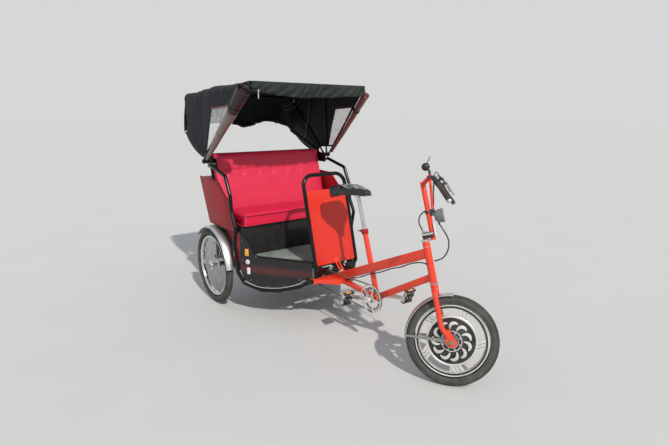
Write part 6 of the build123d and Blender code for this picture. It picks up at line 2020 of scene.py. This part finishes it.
class RICKSHAW_OT_hood(bpy.types.Operator):
    """Folding hood: bows, cloth with clear windows, valance and rolled curtains"""
    bl_idname = "rickshaw.hood"
    bl_label = "Hood"

    def execute(self, context):
        for name in BOWS:
            dressed(f"hood_{name}_bow", "black", "black_tube", angle=TUBE_ANGLE)
        for first, last, replaced in (("front", "middle", ("hood_roof_front", "hood_sides_front")),
                                      ("middle", "rear", ("hood_roof_rear", "hood_sides_middle")),
                                      ("rear", "base", ("hood_sides_rear",))):
            self.section(first, last, replaced)
        self.back()
        self.rear_roll()
        self.valance()
        self.rolls()
        return {"FINISHED"}

    def section(self, first, last, replaced):
        """One continuous sheet over two bows, with a clear window in each side of the front one."""
        rows = hood_sheet(first, last, 0.012)
        count = len(rows[0])
        reach = BOWS["front"][2]
        step = reach * (1 - BEND / reach - KEEP) / LEG_STEPS
        window_top = 1 + round(bpy.context.scene.rickshaw_sizes.window_height / step)

        def mark(i, j):
            side = min(i, count - 2 - i)
            if first == "rear" and side >= LEG_STEPS + ARC_STEPS // 2:
                return None
            low, high = WINDOW_ROWS["right" if i < count // 2 else "left"]
            return 1 if first == "front" and 1 <= side < window_top and low <= j < high else 0

        def follow(made):
            BOWS[last][0]
            BOWS[first][0]
            tuple(leg_point(last))
            tuple(leg_point(first))
            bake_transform(made)

        if first == "rear":
            shares = [min(1.0, min(i, count - 1 - i) / LEG_STEPS) for i in range(count)]
            base_row = rows[-1]
            for k in range(1, 6):
                drops = [REAR_SIDE_DROP * k / 5 * sin(pi * share) ** 0.6 for share in shares]
                rows.append([p - Vector((0, 0, drop)) for p, drop in zip(base_row, drops)])
        follow(sheet_piece(f"hood_cloth_{first}", grid_form(rows, mark), ["hood", "window"], None, replaced,
                           "hood_cloth", (2.9, 1.15), outside=True, held="stretched",
                           rests_on=[f"hood_{first}_bow", f"hood_{last}_bow"]))
        if first == "front":
            piping = Form()
            for side, column in (("right", window_top), ("left", count - 1 - window_top)):
                low, high = WINDOW_ROWS[side]
                edge = [row[column] + Vector((0, 0.0022 * (1 if row[column].y > 0 else -1), 0))
                        for row in rows[low - 1:high + 2]]
                piping = piping + sweep(edge, [(a * 1.9, b) for a, b in circle(0.0034, 8)], up=(0, 1, 0))
            follow(piece("window_piping", piping, "piping", None, (), "curtain_vinyl"))
        if first == "middle":
            follow(self.inside_straps([p for row in rows for p in row]))

    def inside_straps(self, points):
        """Grey ties sewn inside the sides, and a looped one under the roof."""
        straps = Form()
        for side in SIDES:
            high, low = at(-0.212, side * 0.55, 1.617), at(-0.293, side * 0.55, 1.275)
            path = []
            for i in range(13):
                wanted = high.lerp(low, i / 12)
                near = min(points, key=lambda p: (p - wanted).length)
                inside = min(abs(near.y) - 0.013, 0.548 - 0.0025 * i)
                path.append(Vector((wanted.x, side * inside, wanted.z)))
            straps = straps + sweep(path, strip(0.007, 0.0008), up=(0, side, 0))
        loop = ((-0.200, 0.423, 1.655), (-0.206, 0.40, 1.60), (-0.200, 0.330, 1.56), (-0.200, 0.262, 1.530),
                (-0.24, 0.25, 1.58), (-0.27, 0.30, 1.652))
        hung = ((-0.264, 0.40, 1.650), (-0.33, 0.40, 1.592), (-0.43, 0.40, 1.565), (-0.500, 0.40, 1.598))
        for route, radius in ((loop, 0.0035), (hung, 0.0040)):
            straps = straps + sweep(spline_path([at(*place) for place in route]), circle(radius, 8))
        return piece("inside_straps", straps, "strap", None, (), "hood_cloth")

    def back(self):
        """Rear sheet hanging from the rear bow to an arched, wavy hem."""
        rows = []
        columns, over, down = 110, 4, 26
        for j in range(over + down + 1):
            row = []
            for i in range(columns + 1):
                start, end = back_line(-1 + 2 * i / columns)
                y = start.y
                if j <= over:
                    a = radians(70 + 27 * j)
                    row.append(start + Vector((cos(a), 0, sin(a))) * BACK_OUT)
                    continue
                v = (j - over) / down
                fold = 0.020 * noise.noise(Vector((y * 5, v * 1.6, 2.2)))
                fold += 0.010 * abs(noise.noise(Vector((y * 13 + v * 2, v, 8.1)))) - 0.003
                fold += 0.005 * sin(y * 34 + 4 * noise.noise(Vector((y * 3, 1, 0)))) * v
                out = fold * min(1, v * 3) * (1 - 0.55 * v) + 0.007 * sin(pi * v)
                row.append((start + BACK_WAY * BACK_OUT).lerp(end, v) + BACK_WAY * out)
            rows.append(row)
        sheet_piece("hood_back_sheet", grid_form(rows), ["hood"], "hood_rear", "hood_back", "hood_cloth",
                    (1.1, 1.12), outside=True, held="hung", rests_on=["hood_rear_bow"])

    def rear_roll(self):
        """Rear curtain rolled up along the inside of the hem, tied in four places."""
        columns, around, turns = 90, 84, 3.5
        lift = Vector((0, 0, 0.004)) - BACK_WAY * (CURTAIN_R + BACK_OUT - 0.003)
        centres = [back_line((-1 + 2 * i / columns) * 0.474 / BACK_HALF)[1] + lift for i in range(columns + 1)]
        rows = []
        for place, (_, side, over) in zip(centres, frames_along(centres)):
            pinch = 1 - 0.26 * sum(bell_curve(place.y - y, 0.018) for y in ROLL_TIES)
            row = []
            for k in range(around + 1):
                share = k / around
                a = 2 * pi * turns * share + 0.8
                lump = 1 + 0.12 * noise.noise(Vector((place.y * 11, cos(a), sin(a) + share * 3)))
                r = (0.005 + (CURTAIN_R - 0.0065) * share) * pinch * lump
                row.append(place + side * (r * cos(a)) + over * (r * sin(a)))
            rows.append(row)
        sheet_piece("rear_curtain_roll", grid_form(rows), ["hood"], "hood_rear", "rear_curtain", "hood_cloth",
                    (1.0, 1.1), 0.0009, held="folded", with_pieces=["hood_back_sheet"])
        bands = Form()
        for y in ROLL_TIES:
            centre = min(centres, key=lambda p: abs(p.y - y))
            ring = ellipse(0.0255, 0.0225, 28, centre.x + 0.003, centre.z + 0.004)
            bands = bands + sweep([Vector((x, centre.y, z)) for x, z in ring], strip(0.0007, 0.007), True, (0, 1, 0))
        piece("rear_roll_ties", bands, "strap", "hood_rear", (), "hood_cloth")

    def valance(self):
        """Gathered front band hanging from the front bow between the rolled curtains."""
        tip = bow_tip("front")
        rows = []
        steps, high = 130, 12
        for j in range(high + 1):
            v = j / high
            row = []
            for i in range(steps + 1):
                y = VALANCE_LOW + VALANCE_WIDE * i / steps
                low = between(VALANCE_EDGE, y) + 0.006 * noise.noise(Vector((y * 13, 5, 0)))
                slant = y + 0.11 * v
                gather = 0.0055 * sin(slant * 78 + 5 * noise.noise(Vector((y * 4, 0, 0)))) * (0.25 + 0.75 * v)
                gather += 0.010 * noise.noise(Vector((slant * 9, v * 2, 4)))
                top = tip.z + 0.0125
                row.append(Vector((tip.x + 0.0145 + 0.006 * sin(pi * v) + gather, y, top + (low - top) * v)))
            rows.append(row)
        sheet_piece("hood_valance_cloth", grid_form(rows), ["valance"], "hood_front", "hood_valance", "hood_cloth",
                    (1.3, 1.1), held="gathered", rests_on=["hood_front_bow"])

    def rolls(self):
        """Side curtains rolled to cones along the front bow's legs, each held by a strap."""
        body, _, reach, foot = BOWS["front"]
        out = bow_way("front")
        ahead = Vector((out.z, 0, -out.x))
        straps = Form()
        for name, side, foot_r, top_r, top_reach, turns, finishes in ROLLS:
            def centre_at(share):
                radius = foot_r + (top_r - foot_r) * share
                along = ROLL_START + (top_reach - ROLL_START) * share
                y = foot + (TOP_HALF - foot) * along / reach
                beside, apart = ROLL_OUT * share, BOW_R + 0.0006 + radius
                forward = sqrt(apart * apart - beside * beside)
                return PIVOT + out * along + ahead * forward + Vector((0, side * (y + beside), 0)), radius
            start, end = centre_at(0)[0], centre_at(1)[0]
            axis = end - start
            sx, sy = frames_along([start, end])[0][1:]
            rows, marks = [], 44
            steps = 130
            for j in range(marks + 1):
                t = j / marks
                centre, radius = centre_at(t)
                pinch = 1 - 0.10 * bell_curve(t - ROLL_STRAP, 0.02)
                row = []
                for i in range(steps + 1):
                    share = i / steps
                    a = 2 * pi * turns * share + side * 1.1 * t
                    lump = 1 + 0.09 * noise.noise(Vector((t * 7 + share, cos(a) * 1.1, sin(a) * 1.1 + side)))
                    r = (0.18 + 0.79 * share) * radius * pinch * lump
                    slip = 0.010 * noise.noise(Vector((share * 6, t * 3, 7 + side))) * abs(2 * t - 1)
                    row.append(centre + sx * (r * cos(a)) + sy * (r * sin(a)) + axis.normalized() * slip)
                rows.append(row)
            form = grid_form(rows, lambda i, j: 1 if j > 0.70 * marks else 0)
            sheet_piece("curtain_roll_" + name, form, finishes, body, "curtain_rolls" if name == "right" else (),
                        "curtain_vinyl", (axis.length, 1.1), 0.0008, held="folded", rests_on=["hood_front_bow"])
            centre, radius = centre_at(ROLL_STRAP)
            band = hoop(radius * 0.93, radius * 0.96 + 0.0014, -0.009, 0.009, 40)
            straps = straps + band.moved(facing(axis, centre))
        clasp = block(0.010, 0.004, 0.054).shifted(*at(0.560, -0.430, 1.647)) \
            + block(0.013, 0.006, 0.010).shifted(*at(0.560, -0.430, 1.676))
        piece("curtain_straps", straps + clasp.marked(1), ["plastic", "white"], body, (), "black_plastic",
              bevel=0.0005)


# The stage
CAMERA_PLACE = (3.625, -2.113, 1.562)
CAMERA_HEADING = 52.502
CAMERA_PITCH = 13.169
CAMERA_ROLL = 0.658
FOCAL_PIXELS = 490.0
PHOTO_WIDTH = 669.0
FLOOR_SIZE = 60.0
SKY_LIGHT = ((0.86, 0.92, 1.0), 0.62)
BACKDROP = ((0.707, 0.716, 0.709), 0.95)
SUN_PLACE = (4.6, -0.9, 4.75)
SUN_AIM = (0.5, 0, 0.8)


class RICKSHAW_OT_stage(bpy.types.Operator):
    """Floor, backdrop, lamps and camera"""
    bl_idname = "rickshaw.stage"
    bl_label = "Stage"

    def execute(self, context):
        self.camera(context.scene)
        self.floor()
        self.world(context.scene)
        sun = in_scene("sun", bpy.data.lights.new("sun", "SUN"))
        sun.data.energy = 3.0
        sun.data.angle = radians(1.5)
        sun.data.color = (1.0, 0.965, 0.91)
        toward = at(*SUN_AIM) - at(*SUN_PLACE)
        sun.matrix_world = toward.to_track_quat("-Z", "Y").to_matrix().to_4x4()
        return {"FINISHED"}

    def camera(self, scene):
        """Camera where the photograph's stood, with its roll."""
        camera = in_scene("camera", bpy.data.cameras.new("camera"))
        heading, pitch, roll = (radians(a) for a in (CAMERA_HEADING, CAMERA_PITCH, CAMERA_ROLL))
        ahead = Vector((-sin(heading), cos(heading), 0)) * cos(pitch) + Vector((0, 0, -sin(pitch)))
        right = Vector((cos(heading), sin(heading), 0))
        up = right.cross(ahead)
        level_right = right * cos(roll) + up * sin(roll)
        level_up = up * cos(roll) - right * sin(roll)
        camera.matrix_world = basis(level_right, level_up, -ahead, at(*CAMERA_PLACE))
        camera.data.sensor_width = 36.0
        camera.data.lens = camera.data.sensor_width * FOCAL_PIXELS / PHOTO_WIDTH
        camera.data.clip_end = 200.0
        scene.camera = camera

    def floor(self):
        """Pale floor."""
        corners = [(x * FLOOR_SIZE, y * FLOOR_SIZE, 0) for x, y in ((-1, -1), (1, -1), (1, 1), (-1, 1))]
        floor = as_object("floor", Form(corners, [(0, 1, 2, 3)]), [])
        finish = Finish("floor_finish")
        grain = finish.noise(1.5, 4)
        finish.set("Base Color", finish.mix(grain, (0.525, 0.520, 0.510), (0.570, 0.565, 0.555)))
        finish.set("Roughness", 0.85 + grain * 0.1)
        floor.data.materials.append(finish.material)

    def world(self, scene):
        """Sky light on the vehicle, and a pale backdrop for the camera, reflections and glass."""
        world = bpy.data.worlds.new("studio")
        scene.world = world
        world.use_nodes = True
        tree = world.node_tree
        tree.nodes.clear()
        out = tree.nodes.new("ShaderNodeOutputWorld")
        rays = tree.nodes.new("ShaderNodeLightPath")
        both = tree.nodes.new("ShaderNodeMixShader")
        for slot, (tint, strength) in ((1, SKY_LIGHT), (2, BACKDROP)):
            light = tree.nodes.new("ShaderNodeBackground")
            feed(tree, light.inputs["Color"], tint)
            feed(tree, light.inputs["Strength"], strength)
            tree.links.new(light.outputs[0], both.inputs[slot])
        seen, *others = (Shade(tree, rays.outputs[kind + " Ray"])
                         for kind in ("Is Camera", "Is Glossy", "Is Transmission"))
        for other in others:
            seen = seen.maths("MAXIMUM", seen, other)
        tree.links.new(seen.socket, both.inputs[0])
        tree.links.new(both.outputs[0], out.inputs["Surface"])


class RICKSHAW_PT_panel(bpy.types.Panel):
    """Lists the pieces in the 3D view's sidebar"""
    bl_idname = "RICKSHAW_PT_panel"
    bl_label = "Rickshaw"
    bl_space_type = "VIEW_3D"
    bl_region_type = "UI"
    bl_category = "Rickshaw"

    def draw(self, context):
        for group in (context.scene.rickshaw_sizes, context.scene.rickshaw_colours):
            for name in group.__annotations__:
                self.layout.prop(group, name)
        for operator in OPERATORS:
            self.layout.operator(operator.bl_idname)


OPERATORS = (RICKSHAW_OT_stage, RICKSHAW_OT_tyres, RICKSHAW_OT_rear_wheels, RICKSHAW_OT_front_wheel,
             RICKSHAW_OT_fork, RICKSHAW_OT_front_guard, RICKSHAW_OT_frame, RICKSHAW_OT_bars,
             RICKSHAW_OT_cables, RICKSHAW_OT_saddle, RICKSHAW_OT_drive, RICKSHAW_OT_cab, RICKSHAW_OT_seat,
             RICKSHAW_OT_hood)
CLASSES = (RickshawColours, RickshawSizes, *OPERATORS, RICKSHAW_PT_panel)


def register():
    for made in CLASSES:
        bpy.utils.register_class(made)
    bpy.types.Scene.rickshaw_colours = bpy.props.PointerProperty(type=RickshawColours)
    bpy.types.Scene.rickshaw_sizes = bpy.props.PointerProperty(type=RickshawSizes)


def unregister():
    del bpy.types.Scene.rickshaw_sizes
    del bpy.types.Scene.rickshaw_colours
    for made in reversed(CLASSES):
        bpy.utils.unregister_class(made)


def main():
    global paints
    register()
    scene = bpy.context.scene
    scene.view_settings.view_transform = "Standard"
    paints = Paints(scene.rickshaw_colours)
    for operator in OPERATORS:
        group, name = operator.bl_idname.split(".")
        getattr(getattr(bpy.ops, group), name)()


if __name__ == "__main__":
    main()
